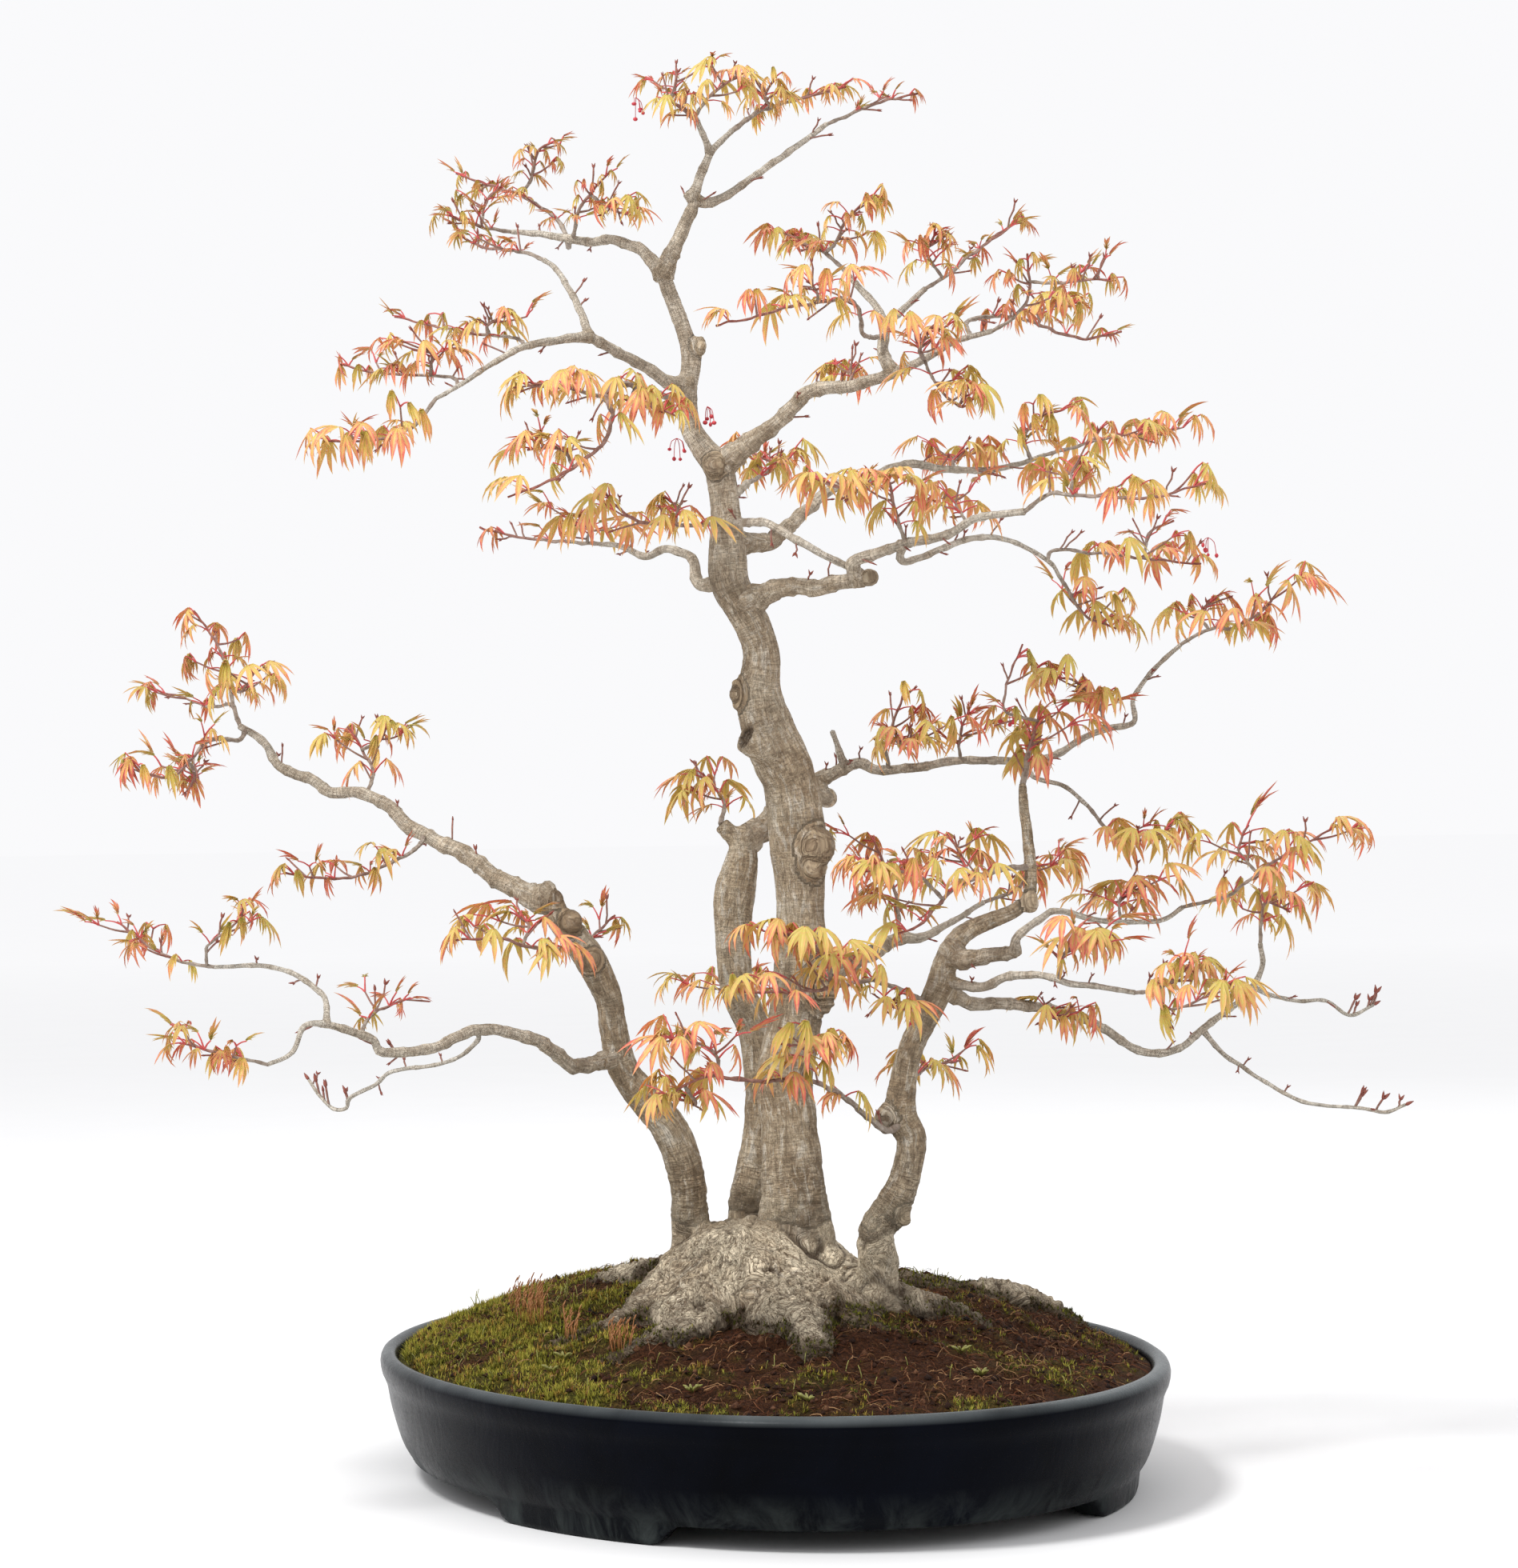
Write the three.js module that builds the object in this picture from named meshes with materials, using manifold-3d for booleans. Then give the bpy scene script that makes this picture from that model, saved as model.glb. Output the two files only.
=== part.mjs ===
// Japanese maple bonsai in its oval pot. Millimetres, +Z up, front towards -Y.
import * as THREE from 'three';
import Module from 'manifold-3d';

const wasm = await Module();
wasm.setup();

// Pot: oval, its long axis turned towards the front
const POT_LENGTH = 600;
const POT_WIDTH = 434;
const POT_HEIGHT = 72;
const POT_TURN = THREE.MathUtils.degToRad(-74);
const POT_SIDES = 36;
const FOOT_HEIGHT = 11;
const FLOOR_TOP = 22;
const WIDTH_INSET_SHARE = 0.77;
const POT_PROFILE = [
  [22, FOOT_HEIGHT], [15, 22], [8, 40], [4.5, 54], [1, 60], [0, 66], [2, 70.5], [5, POT_HEIGHT],
  [9.5, POT_HEIGHT], [12.6, 68], [14.5, 58], [19, 40], [27, FLOOR_TOP],
];
const FOOT_MIDDLES = [52, 128, 232, 308].map(THREE.MathUtils.degToRad);
const FOOT_HALF_ANGLE = THREE.MathUtils.degToRad(17);
const FOOT_END_SLOPE = THREE.MathUtils.degToRad(4);
const FOOT_STEPS = 4;
const FOOT_INSETS = { outerLow: 26, outerHigh: 22.5, innerHigh: 45, innerLow: 44 };
const FOOT_SINK = 1;
const DRAIN_RADIUS = 14;
const DRAIN_SIDES = 12;
const DRAIN_OFFSET = 130;
const DRAIN_OVERRUN = 5;

// Soil: a mound, higher behind the tree than in front of it
const SOIL_EDGE = 66.5;
const MOUND_RISE = 46;
const MOUND_BACK_RISE = 28;
const MOUND_POWER = 1.8;
const MOUND_INSETS = [13, 10];
const MOUND_SHARES = [0.92, 0.74, 0.54];
const GAP = 0.3;
const SOIL_INSET = 13.4;
const SOIL_SIDES = [[27.5, FLOOR_TOP + GAP], [19.5, 40], [15, 58], [SOIL_INSET, SOIL_EDGE]];

// Elevation drawing: grid of squares, seen in perspective from in front
const VIEW_DISTANCE = 2500;
const VIEW_HEIGHT = 382;
const SQUARES_PER_RADIAN = 5460;
const DRAWING_MIDDLE = [948.5, 980];
const DRAWING_TURN = THREE.MathUtils.degToRad(0.85);
const DRAWING_TILT = THREE.MathUtils.degToRad(-0.28);
const DEPTH_SPREAD = 1.4;

// Leaves: lobes as steps of the spread and shares of the length, and for each form the least value
// and the range of its stalk, rise, size, pitch and drop
const LEAF_SHARE = 0.2;
const LEAF_LENGTH = 27;
const LEAF_THICKNESS = 1.8;
const LOBES = [[-2, 0.5], [-1, 0.85], [0, 1], [1, 0.85], [2, 0.5]];
const NOTCH_REACH = 0.3;
const NOTCH_DROP = 0.1;
const HEEL_TURN = 0.35;
const HEEL_REACH = 0.09;
const DROOP_SHORTENING = 0.8;
const LEAF_ROLL = 0.7;
const OPEN_LEAF = {
  spread: 0.95, stalk: [9, 11], rise: [0.1, 0.7], size: [0.82, 0.3], pitch: [-0.5, 0.45], drop: [0.42, 0.3],
};
const YOUNG_LEAF = {
  spread: 0.36, stalk: [6, 5], rise: [0.5, 0.6], size: [0.62, 0.25], pitch: [0.5, 0.5], drop: [0.12, 0],
};

// Leaf pairs along a stem, and how far they stand open
const FIRST_PAIR = 0.3;
const PAIR_STRETCH = 0.68;
const PAIR_ANGLES = [1.4, 0.8];
const TIP_ANGLE = 0.5;
const ANGLE_RANGE = 0.5;

// Stems
const STEM_SIDES = 3;
const STEM_FULLNESS = 1.4;
const STEM_TIP_WIDTH = 3.2;
const STALK_SINK = 0.3;
const TOUCH_VOLUME = 0.02;
const STALK_VOLUME = 0.2;
const BOX_MARGIN = 2;
const SPRAY_SEEDS = 1000;
const STEM_SEEDS = 200;
const LIMB_BEND_KEPT = 2.4;
const STEM_BEND_KEPT = 4;

// Limbs: how much wider one may start than its first point, and the sides of limbs above a width
const LIMB_FLARE = 1.1;
const LIMB_SIDES = [[50, 8], [20, 6], [11, 5], [0, 4]];
const FIRST_SIDE = new THREE.Vector3(0.31, -0.8, 0.52);

// Trunks, from the root base up: [x, y] on the drawing grid, depth in mm, width on the grid
const TRUNKS = {
  main_trunk: [
    [995, 1620, -44, 112], [995, 1560, -42, 100], [993, 1505, -42, 84], [986, 1406, -40, 71],
    [981, 1349, -38, 71], [996, 1253, -36, 67], [1000, 1176, -34, 64], [1000, 1119, -34, 61],
    [998, 1056, -35, 73], [988, 983, -36, 68], [976, 950, -38, 72], [961, 915, -40, 68],
    [949, 870, -42, 58], [952, 820, -44, 46], [943, 788, -45, 46], [927, 757, -46, 46],
    [911, 725, -46, 50], [909, 686, -45, 47], [907, 643, -44, 38], [899, 588, -42, 38],
    [880, 562, -40, 32], [862, 530, -37, 27], [860, 486, -36, 24], [864, 450, -35, 26],
    [857, 420, -35, 21], [844, 385, -36, 20], [828, 343, -38, 19],
  ],
  back_trunk: [
    [932, 1640, 8, 64], [930, 1560, 12, 50], [932, 1505, 16, 44], [951, 1400, 24, 42],
    [945, 1300, 30, 42], [921, 1232, 34, 43], [916, 1165, 37, 46], [918, 1120, 38, 52],
    [926, 1080, 40, 42], [922, 1042, 42, 36],
  ],
  right_trunk: [
    [1100, 1640, -66, 64], [1098, 1578, -72, 46], [1095, 1540, -74, 46], [1113, 1510, -75, 44],
    [1130, 1475, -76, 39], [1139, 1425, -76, 38], [1125, 1393, -76, 41], [1129, 1349, -76, 34],
    [1139, 1308, -75, 32], [1155, 1275, -75, 33], [1175, 1232, -74, 36], [1182, 1200, -72, 30],
    [1205, 1166, -70, 25], [1264, 1140, -66, 19], [1285, 1120, -65, 17], [1288, 1092, -63, 16],
    [1284, 1045, -60, 15], [1279, 1005, -56, 13], [1278, 980, -52, 11],
  ],
  left_trunk: [
    [872, 1600, -26, 64], [862, 1521, -28, 46], [860, 1483, -30, 46], [851, 1444, -32, 46],
    [834, 1406, -36, 46], [800, 1366, -40, 42], [778, 1335, -44, 38], [766, 1284, -50, 36],
    [761, 1250, -52, 34], [750, 1222, -55, 38], [738, 1200, -58, 40], [721, 1176, -61, 38],
    [700, 1150, -64, 34], [686, 1124, -66, 27],
  ],
};

// Branches: name, what it grows from, points with the depth counted from where it starts
const BRANCHES = [
  ['crown_fork', 'main_trunk', [
    [851, 292, -2, 16], [864, 262, -4, 15], [871, 231, -2, 12], [887, 190, 0, 10],
  ]],
  ['crown_left', 'crown_fork', [[871, 150, -12, 7]]],
  ['crown_right', 'crown_fork', [[914, 164, 12, 7]]],
  ['apex_branch', 'crown_fork', [
    [888, 254, 6, 11], [919, 237, 14, 10], [942, 220, 20, 9], [984, 191, 30, 8],
    [1034, 155, 38, 6],
  ]],
  ['top_left', 'main_trunk', [
    [803, 314, 8, 14], [784, 306, 14, 13], [761, 300, 20, 12], [736, 303, 26, 11],
    [704, 297, 34, 10], [675, 293, 40, 8], [640, 290, 48, 6],
  ]],
  ['upper_left', 'main_trunk', [
    [835, 477, -6, 15], [810, 460, -12, 14], [774, 442, -20, 13], [736, 420, -30, 13],
  ]],
  ['upper_left_rise', 'upper_left', [[723, 384, 14, 9], [698, 340, 30, 7], [680, 325, 38, 6]]],
  ['upper_left_arm', 'upper_left', [
    [698, 425, -8, 10], [655, 434, -18, 9], [613, 456, -28, 7], [582, 477, -36, 6],
    [545, 498, -44, 5],
  ]],
  ['low_left', 'main_trunk', [
    [875, 730, 8, 15], [865, 699, 16, 12], [833, 686, 24, 10], [807, 696, 30, 9],
    [776, 683, 38, 7], [750, 680, 46, 5.5],
  ]],
  ['right_high', 'main_trunk', [
    [939, 553, -8, 23], [964, 534, -12, 20], [1007, 493, -20, 18], [1034, 486, -24, 17],
    [1072, 480, -30, 15], [1106, 470, -34, 14], [1156, 449, -40, 10], [1194, 426, -46, 8],
    [1240, 414, -52, 6],
  ]],
  ['right_high_rise', 'right_high', [[1104, 440, 8, 14], [1106, 407, 14, 13]]],
  ['rise_left', 'right_high_rise', [[1095, 384, 8, 9], [1072, 358, 16, 8], [1053, 335, 24, 6]]],
  ['rise_right', 'right_high_rise', [[1118, 396, 4, 9], [1156, 361, 12, 7]]],
  ['back_high', 'main_trunk', [[914, 622, 30, 12], [934, 604, 56, 9]]],
  ['back_low', 'back_trunk', [[926, 1224, 22, 14], [922, 1230, 44, 9]]],
  ['right_mid', 'main_trunk', [
    [958, 678, 14, 21], [985, 659, 24, 18], [1002, 643, 32, 16], [1040, 610, 46, 13],
    [1078, 599, 58, 12], [1137, 580, 72, 11], [1175, 586, 82, 9], [1219, 588, 92, 8],
    [1262, 583, 100, 7], [1305, 569, 110, 5.5],
  ]],
  ['right_low', 'main_trunk', [
    [948, 746, -6, 25], [975, 734, -14, 23], [1013, 733, -22, 21], [1050, 729, -28, 20],
    [1088, 721, -32, 18],
  ]],
  ['right_low_rise', 'right_low', [
    [1066, 703, -8, 15], [1088, 694, -12, 14], [1132, 680, -22, 12], [1186, 667, -34, 11],
    [1219, 648, -42, 10], [1251, 643, -50, 9], [1280, 640, -56, 8],
  ]],
  ['right_low_link', 'main_trunk', [
    [940, 653, -30, 11], [961, 655, -36, 10], [996, 675, -42, 10], [1029, 694, -42, 9],
    [1060, 708, -36, 9],
  ]],
  ['right_under', 'right_low_rise', [
    [1132, 702, 14, 9], [1202, 676, 30, 8], [1240, 672, 40, 7], [1273, 680, 48, 6],
    [1311, 702, 56, 5.5], [1325, 722, 60, 5],
  ]],
  ['back_stub', 'back_trunk', [[912, 1036, 3, 30], [900, 1030, 5, 27]]],
  ['back_right', 'back_trunk', [
    [952, 1033, 6, 24], [985, 1004, 8, 22], [1019, 978, 4, 20], [1044, 966, 0, 17],
    [1073, 954, -5, 14], [1097, 963, -8, 12], [1145, 959, -13, 11], [1194, 951, -17, 10],
    [1242, 951, -20, 10], [1281, 951, -22, 9], [1315, 945, -24, 9], [1359, 920, -28, 8],
    [1388, 910, -30, 8], [1417, 903, -32, 7], [1417, 871, -34, 6], [1446, 833, -38, 6],
    [1475, 806, -41, 5.5],
  ]],
  ['back_right_knob', 'back_right', [[1028, 992, -3, 15], [1036, 1000, -5, 13]]],
  ['back_right_stub', 'back_right', [[1050, 944, -6, 9], [1046, 930, -8, 7], [1040, 914, -9, 6]]],
  ['back_right_low', 'back_right', [[1291, 971, -10, 6], [1330, 983, -16, 5.5], [1359, 1007, -22, 5]]],
  ['right_stub', 'right_trunk', [[1204, 1199, -7, 20], [1239, 1194, -14, 18], [1268, 1189, -20, 16]]],
  ['right_arm', 'right_stub', [
    [1272, 1170, -4, 10], [1298, 1150, 2, 9], [1323, 1139, 8, 8], [1378, 1151, 20, 7],
    [1448, 1151, 34, 6], [1478, 1134, 40, 5.5],
  ]],
  ['right_long', 'right_trunk', [
    [1214, 1254, 10, 16], [1249, 1254, 18, 15], [1298, 1259, 28, 13], [1348, 1271, 36, 12],
    [1383, 1288, 42, 11], [1418, 1311, 48, 10], [1448, 1316, 52, 10], [1478, 1308, 56, 9],
    [1507, 1283, 60, 9], [1537, 1261, 64, 8], [1562, 1239, 68, 8], [1577, 1209, 72, 6.5],
    [1575, 1179, 74, 6],
  ]],
  ['right_bare', 'right_long', [
    [1587, 1244, 6, 5.5], [1622, 1251, 12, 5], [1657, 1251, 18, 4.5], [1687, 1269, 24, 4.5],
    [1716, 1256, 28, 4],
  ]],
  ['right_low_bare', 'right_long', [
    [1527, 1316, -8, 6], [1552, 1333, -14, 5.5], [1582, 1353, -20, 5], [1622, 1375, -28, 5],
    [1657, 1382, -34, 4.5], [1701, 1385, -40, 4.5], [1731, 1390, -46, 4.5], [1756, 1381, -50, 4],
  ]],
  ['right_parallel', 'right_trunk', [
    [1224, 1234, -16, 12], [1259, 1221, -24, 11], [1298, 1219, -32, 9], [1338, 1229, -40, 8],
    [1378, 1234, -46, 7], [1418, 1241, -53, 6],
  ]],
  ['main_right', 'main_trunk', [
    [1041, 1214, 8, 22], [1079, 1196, 18, 20], [1121, 1174, 30, 17], [1150, 1172, 38, 12],
    [1190, 1152, 48, 8], [1229, 1128, 58, 6],
  ]],
  ['left_arm', 'left_trunk', [
    [660, 1118, 6, 24], [620, 1096, 14, 22], [590, 1075, 20, 21], [562, 1058, 26, 20],
    [538, 1048, 31, 18], [510, 1031, 37, 18], [490, 1010, 41, 16], [466, 996, 45, 15],
    [442, 989, 49, 14], [414, 991, 53, 14], [390, 975, 57, 13], [349, 958, 62, 12],
    [330, 928, 65, 10], [300, 907, 70, 8],
  ]],
  ['left_low', 'left_trunk', [
    [720, 1333, -20, 18], [690, 1312, -30, 17], [660, 1297, -38, 16], [620, 1288, -46, 14],
    [590, 1288, -52, 14], [569, 1298, -56, 13], [541, 1310, -60, 13], [480, 1316, -70, 12],
    [466, 1301, -72, 10], [445, 1291, -75, 10], [411, 1281, -80, 9], [380, 1282, -84, 7],
    [366, 1315, -88, 6], [335, 1331, -92, 5],
  ]],
  ['left_low_arch', 'left_low', [
    [407, 1250, 10, 7], [397, 1238, 14, 7], [376, 1222, 20, 7], [352, 1212, 26, 6],
    [321, 1207, 32, 6], [269, 1209, 42, 5],
  ]],
  ['left_low_bare', 'left_low', [
    [596, 1301, 18, 6], [572, 1322, 28, 5], [538, 1332, 36, 5], [490, 1339, 46, 5],
    [469, 1356, 50, 5], [438, 1372, 56, 5], [433, 1385, 58, 5], [417, 1386, 60, 4.5],
    [400, 1370, 64, 4.5], [386, 1350, 68, 4],
  ]],
];

// Leafy sprays: name and stems. A stem has what it grows from (a limb, or the number of an earlier stem),
// its points, its width at the start, how many leaves it has, and 1 where its leaves are young
const SPRAYS = [
  ['crown_left', [
    ['crown_left', [[851, 136, -6], [836, 125, -10]], 7, 4, 0],
    [0, [[843, 112, 12], [846, 92, 20]], 5, 8, 1],
    [0, [[885, 122, -10], [907, 104, -18], [927, 92, -24]], 5, 9, 0],
  ]],
  ['crown_right', [
    ['crown_right', [[940, 145, 8], [969, 132, 16], [1000, 123, 22], [1058, 108, 30]], 7, 11, 0],
    [0, [[957, 120, -14], [968, 96, -22]], 5, 9, 0],
  ]],
  ['apex', [
    ['apex_branch', [[1068, 141, 8], [1099, 128, 12], [1125, 122, 16], [1148, 118, 20]], 5, 6, 1],
  ]],
  ['top_left_rise', [
    ['top_left', [
      [710, 308, 12], [702, 282, 18], [688, 268, 24], [650, 244, 36], [611, 231, 46],
      [570, 217, 54],
    ], 7, 10, 1],
    [0, [[664, 222, -10], [672, 190, -16], [690, 176, -20]], 5, 11, 1],
  ]],
  ['top_left_tip', [
    ['top_left', [[596, 282, -8], [560, 268, -14]], 5, 9, 1],
    [0, [[606, 256, 12], [622, 236, 18]], 4, 6, 1],
  ]],
  ['top_left_inner', [
    ['top_left', [[722, 268, -16], [742, 238, -26], [762, 214, -32]], 5, 10, 1],
    [0, [[765, 262, -12], [788, 268, -18]], 4, 8, 0],
  ]],
  ['upper_left_rise', [
    ['upper_left_rise', [[659, 317, 8], [634, 313, 16], [602, 309, 24], [572, 293, 30]], 5, 9, 1],
  ]],
  ['upper_left_side', [
    ['upper_left_arm', [
      [650, 424, 14], [624, 419, 22], [587, 417, 34], [535, 406, 48], [492, 396, 54],
    ], 5, 10, 1],
    [0, [[612, 404, -10], [630, 396, -16]], 4, 4, 0],
  ]],
  ['upper_left_tip', [
    ['upper_left_arm', [[519, 532, -8], [488, 547, -14], [446, 552, -20], [404, 550, -26]], 5, 13, 0],
  ]],
  ['upper_left_outer', [
    ['upper_left_arm', [[566, 472, 10], [519, 468, 20], [467, 466, 28], [425, 456, 34]], 5, 9, 1],
    [0, [[540, 446, -8], [530, 430, -12]], 4, 8, 0],
  ]],
  ['mid_left', [
    ['main_trunk', [
      [840, 498, -22], [807, 487, -32], [770, 480, -48], [757, 497, -58], [765, 516, -66],
      [760, 542, -74], [744, 563, -84], [708, 589, -96], [671, 608, -102], [634, 621, -108],
    ], 9, 10, 0],
    [0, [[723, 488, -8], [690, 482, -14], [660, 478, -18]], 5, 9, 0],
    [0, [[790, 506, -10], [820, 510, -16], [845, 520, -20]], 5, 10, 0],
    [0, [[700, 560, 12], [660, 562, 20]], 5, 8, 0],
  ]],
  ['low_left_thin', [
    ['main_trunk', [
      [870, 656, -28], [823, 655, -40], [790, 648, -50], [765, 628, -58], [754, 610, -62],
    ], 6, 8, 0],
    [0, [[845, 636, 8], [832, 622, 12]], 4, 3, 0],
  ]],
  ['low_left_tip', [
    ['low_left', [[723, 678, 8], [690, 676, 14], [655, 673, 20], [600, 660, 26]], 5, 3, 1],
    [0, [[735, 660, -12], [712, 656, -20]], 4, 9, 0],
  ]],
  ['rise_left', [
    ['rise_left', [[1030, 315, 8], [1011, 308, 12], [984, 294, 18], [962, 286, 22]], 5, 9, 0],
    [0, [[1046, 300, -14], [1060, 272, -22], [1082, 250, -28]], 5, 12, 0],
  ]],
  ['rise_right', [
    ['rise_right', [
      [1187, 342, 8], [1206, 323, 12], [1229, 308, 16], [1252, 290, 20], [1276, 270, 24],
    ], 5, 10, 1],
    [0, [[1160, 318, -14], [1168, 290, -20]], 4, 9, 0],
  ]],
  ['right_high_up', [
    ['right_high', [[1262, 400, -4], [1282, 380, -8], [1286, 352, -12], [1284, 318, -16]], 5, 10, 1],
    [0, [[1325, 354, -14], [1359, 350, -20], [1393, 350, -26]], 4, 8, 1],
  ]],
  ['right_high_end', [
    ['right_high', [
      [1208, 402, 16], [1233, 396, 24], [1275, 398, 36], [1332, 419, 48], [1363, 424, 54],
      [1402, 414, 60],
    ], 6, 7, 1],
    [0, [[1305, 386, -12], [1345, 382, -20]], 4, 9, 0],
  ]],
  ['rise_front', [
    ['right_high_rise', [
      [1080, 419, -22], [1072, 384, -34], [1057, 375, -42], [1018, 379, -54], [984, 384, -62],
      [938, 398, -70], [895, 406, -76],
    ], 6, 11, 0],
    [0, [[1020, 362, -8], [1008, 352, -14]], 4, 6, 0],
  ]],
  ['right_high_mid', [
    ['right_high', [[1150, 438, -16], [1160, 416, -24], [1172, 402, -30]], 6, 12, 0],
    [0, [[1166, 474, -16], [1197, 508, -24], [1222, 496, -30]], 4, 10, 0],
  ]],
  ['right_high_hang', [
    ['right_high', [[1062, 466, 20], [1060, 460, 36]], 4, 7, 0],
  ]],
  ['back_high', [
    ['back_high', [[955, 592, 22], [968, 580, 38], [950, 572, 54]], 6, 14, 0],
  ]],
  ['back_low', [
    ['back_low', [[912, 1236, 20], [900, 1240, 40], [930, 1226, 58]], 6, 12, 0],
  ]],
  ['right_low_up', [
    ['right_low_rise', [[1120, 640, -12], [1112, 606, -18], [1104, 592, -22]], 5, 12, 0],
    [0, [[1070, 612, -8], [1022, 600, -14]], 4, 9, 0],
  ]],
  ['right_mid_up', [
    ['right_mid', [[1192, 572, 10], [1218, 566, 18]], 5, 10, 0],
  ]],
  ['right_low_mid', [
    ['right_low_rise', [[1195, 632, 16], [1182, 616, 30]], 4, 9, 0],
  ]],
  ['right_mid_high', [
    ['right_mid', [[1280, 548, -14], [1300, 522, -22], [1330, 512, -26]], 5, 12, 0],
  ]],
  ['right_mid_tip', [
    ['right_mid', [[1349, 557, 8], [1392, 545, 14], [1440, 540, 20], [1470, 536, 24]], 5, 17, 0],
  ]],
  ['right_low_tip', [
    ['right_low_rise', [
      [1311, 618, -8], [1350, 620, -14], [1400, 622, -20], [1441, 622, -26], [1505, 604, -32],
    ], 6, 12, 0],
    [0, [[1340, 590, 8], [1352, 576, 14]], 4, 7, 0],
  ]],
  ['right_under_side', [
    ['right_under', [
      [1316, 688, 6], [1354, 690, 10], [1400, 694, 16], [1440, 700, 22], [1500, 704, 28],
    ], 5, 11, 0],
    [0, [[1435, 667, 12], [1466, 650, 18]], 4, 3, 1],
  ]],
  ['back_right_tip', [
    ['back_right', [[1510, 786, -6], [1544, 784, -12], [1580, 760, -18], [1606, 728, -22]], 5, 12, 0],
    [0, [[1500, 768, 14], [1516, 750, 20]], 4, 7, 0],
  ]],
  ['right_under_tip', [
    ['right_under', [[1336, 740, 4], [1355, 768, 10], [1394, 786, 14]], 5, 10, 0],
  ]],
  ['back_shoot', [
    ['back_right', [[1108, 932, -10], [1120, 892, -16], [1134, 856, -20]], 5, 7, 1],
    [0, [[1130, 930, -14], [1142, 926, -20]], 4, 12, 0],
  ]],
  ['back_shoot_right', [
    ['back_right', [[1200, 918, -10], [1212, 888, -14]], 4, 7, 1],
  ]],
  ['right_top', [
    ['right_trunk', [[1286, 940, 2], [1292, 915, 4], [1298, 896, 6]], 8, 15, 0],
    [0, [[1256, 888, -12], [1262, 845, -16], [1278, 805, -18]], 4, 4, 1],
  ]],
  ['back_right_up', [
    ['back_right', [[1372, 880, -12], [1345, 852, -20], [1322, 846, -24]], 5, 12, 0],
  ]],
  ['back_left', [
    ['back_stub', [[905, 1006, 10], [890, 980, 16], [868, 966, 20]], 6, 10, 0],
  ]],
  ['back_right_low', [
    ['back_right_low', [
      [1383, 1036, -8], [1402, 1050, -12], [1440, 1046, -18], [1462, 1034, -22],
    ], 5, 11, 0],
  ]],
  ['right_arm_tip', [
    ['right_arm', [
      [1527, 1122, -8], [1547, 1112, -12], [1587, 1080, -18], [1627, 1058, -24], [1672, 1030, -30],
    ], 5, 12, 0],
    [0, [[1548, 1062, 10], [1560, 1032, 16]], 4, 9, 0],
  ]],
  ['right_long_tip', [
    ['right_long', [[1576, 1152, 4], [1584, 1128, 8], [1612, 1140, 12]], 5, 10, 0],
  ]],
  ['right_parallel_tip', [
    ['right_parallel', [[1438, 1239, -4], [1468, 1224, -8], [1492, 1200, -12]], 5, 9, 0],
    [0, [[1460, 1262, -10], [1497, 1251, -16], [1537, 1226, -20]], 4, 8, 0],
  ]],
  ['right_parallel_up', [
    ['right_parallel', [[1330, 1196, -10], [1350, 1176, -16], [1390, 1180, -22]], 5, 13, 0],
  ]],
  ['right_arm_mid', [
    ['right_arm', [[1400, 1120, 8], [1425, 1106, 12]], 4, 9, 0],
  ]],
  ['right_upper_left', [
    ['right_trunk', [
      [1249, 1087, -12], [1214, 1099, -20], [1189, 1114, -27], [1169, 1134, -34],
      [1149, 1157, -41], [1120, 1168, -48],
    ], 8, 10, 0],
    [0, [[1150, 1096, -8], [1110, 1088, -16], [1078, 1090, -22]], 5, 12, 0],
    [0, [[1200, 1070, 12], [1190, 1048, 18]], 4, 8, 0],
  ]],
  ['main_right_tip', [
    ['main_right', [[1269, 1112, 8], [1290, 1086, 14], [1330, 1078, 20]], 5, 11, 0],
  ]],
  ['main_right_up', [
    ['main_right', [[1120, 1120, 16], [1100, 1070, 24], [1090, 1046, 28]], 6, 12, 0],
  ]],
  ['right_mid_left', [
    ['right_trunk', [
      [1113, 1232, -18], [1083, 1226, -28], [1044, 1234, -42], [1006, 1240, -54], [960, 1240, -66],
      [905, 1240, -76],
    ], 7, 12, 0],
    [0, [[1034, 1204, -10], [1012, 1178, -16], [980, 1164, -20]], 5, 15, 0],
    [0, [[1104, 1252, -8], [1130, 1262, -14]], 4, 7, 0],
  ]],
  ['right_inner_left', [
    ['right_trunk', [
      [1108, 1413, -14], [1083, 1395, -24], [1060, 1375, -34], [1037, 1360, -44],
      [1002, 1349, -56], [953, 1352, -68], [914, 1347, -78], [872, 1349, -86], [812, 1388, -94],
    ], 9, 10, 0],
    [0, [[895, 1318, -10], [870, 1304, -16], [838, 1300, -20]], 5, 12, 0],
    [0, [[870, 1380, 12], [846, 1372, 18]], 5, 7, 0],
    [0, [[1010, 1318, -10], [1000, 1304, -16], [1040, 1296, -22]], 5, 10, 0],
  ]],
  ['right_inner_up', [
    ['right_trunk', [[1146, 1344, 24], [1165, 1332, 46], [1200, 1326, 66]], 6, 8, 0],
  ]],
  ['right_long_hang', [
    ['right_long', [[1312, 1270, -12], [1330, 1280, -18]], 4, 7, 0],
  ]],
  ['left_arm_tip', [
    ['left_arm', [
      [293, 886, 6], [287, 851, 12], [280, 828, 16], [269, 803, 22], [250, 775, 26],
    ], 6, 10, 1],
    [0, [[305, 862, -14], [318, 838, -22]], 4, 10, 0],
    [0, [[262, 884, 10], [240, 876, 16], [192, 862, 24]], 4, 5, 1],
  ]],
  ['left_arm_arch', [
    ['left_arm', [
      [298, 925, -10], [262, 926, -18], [240, 948, -24], [214, 970, -32], [180, 966, -38],
      [162, 950, -42],
    ], 6, 11, 1],
    [0, [[246, 966, 8], [240, 984, 12]], 4, 6, 1],
  ]],
  ['left_arm_shoot', [
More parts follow.
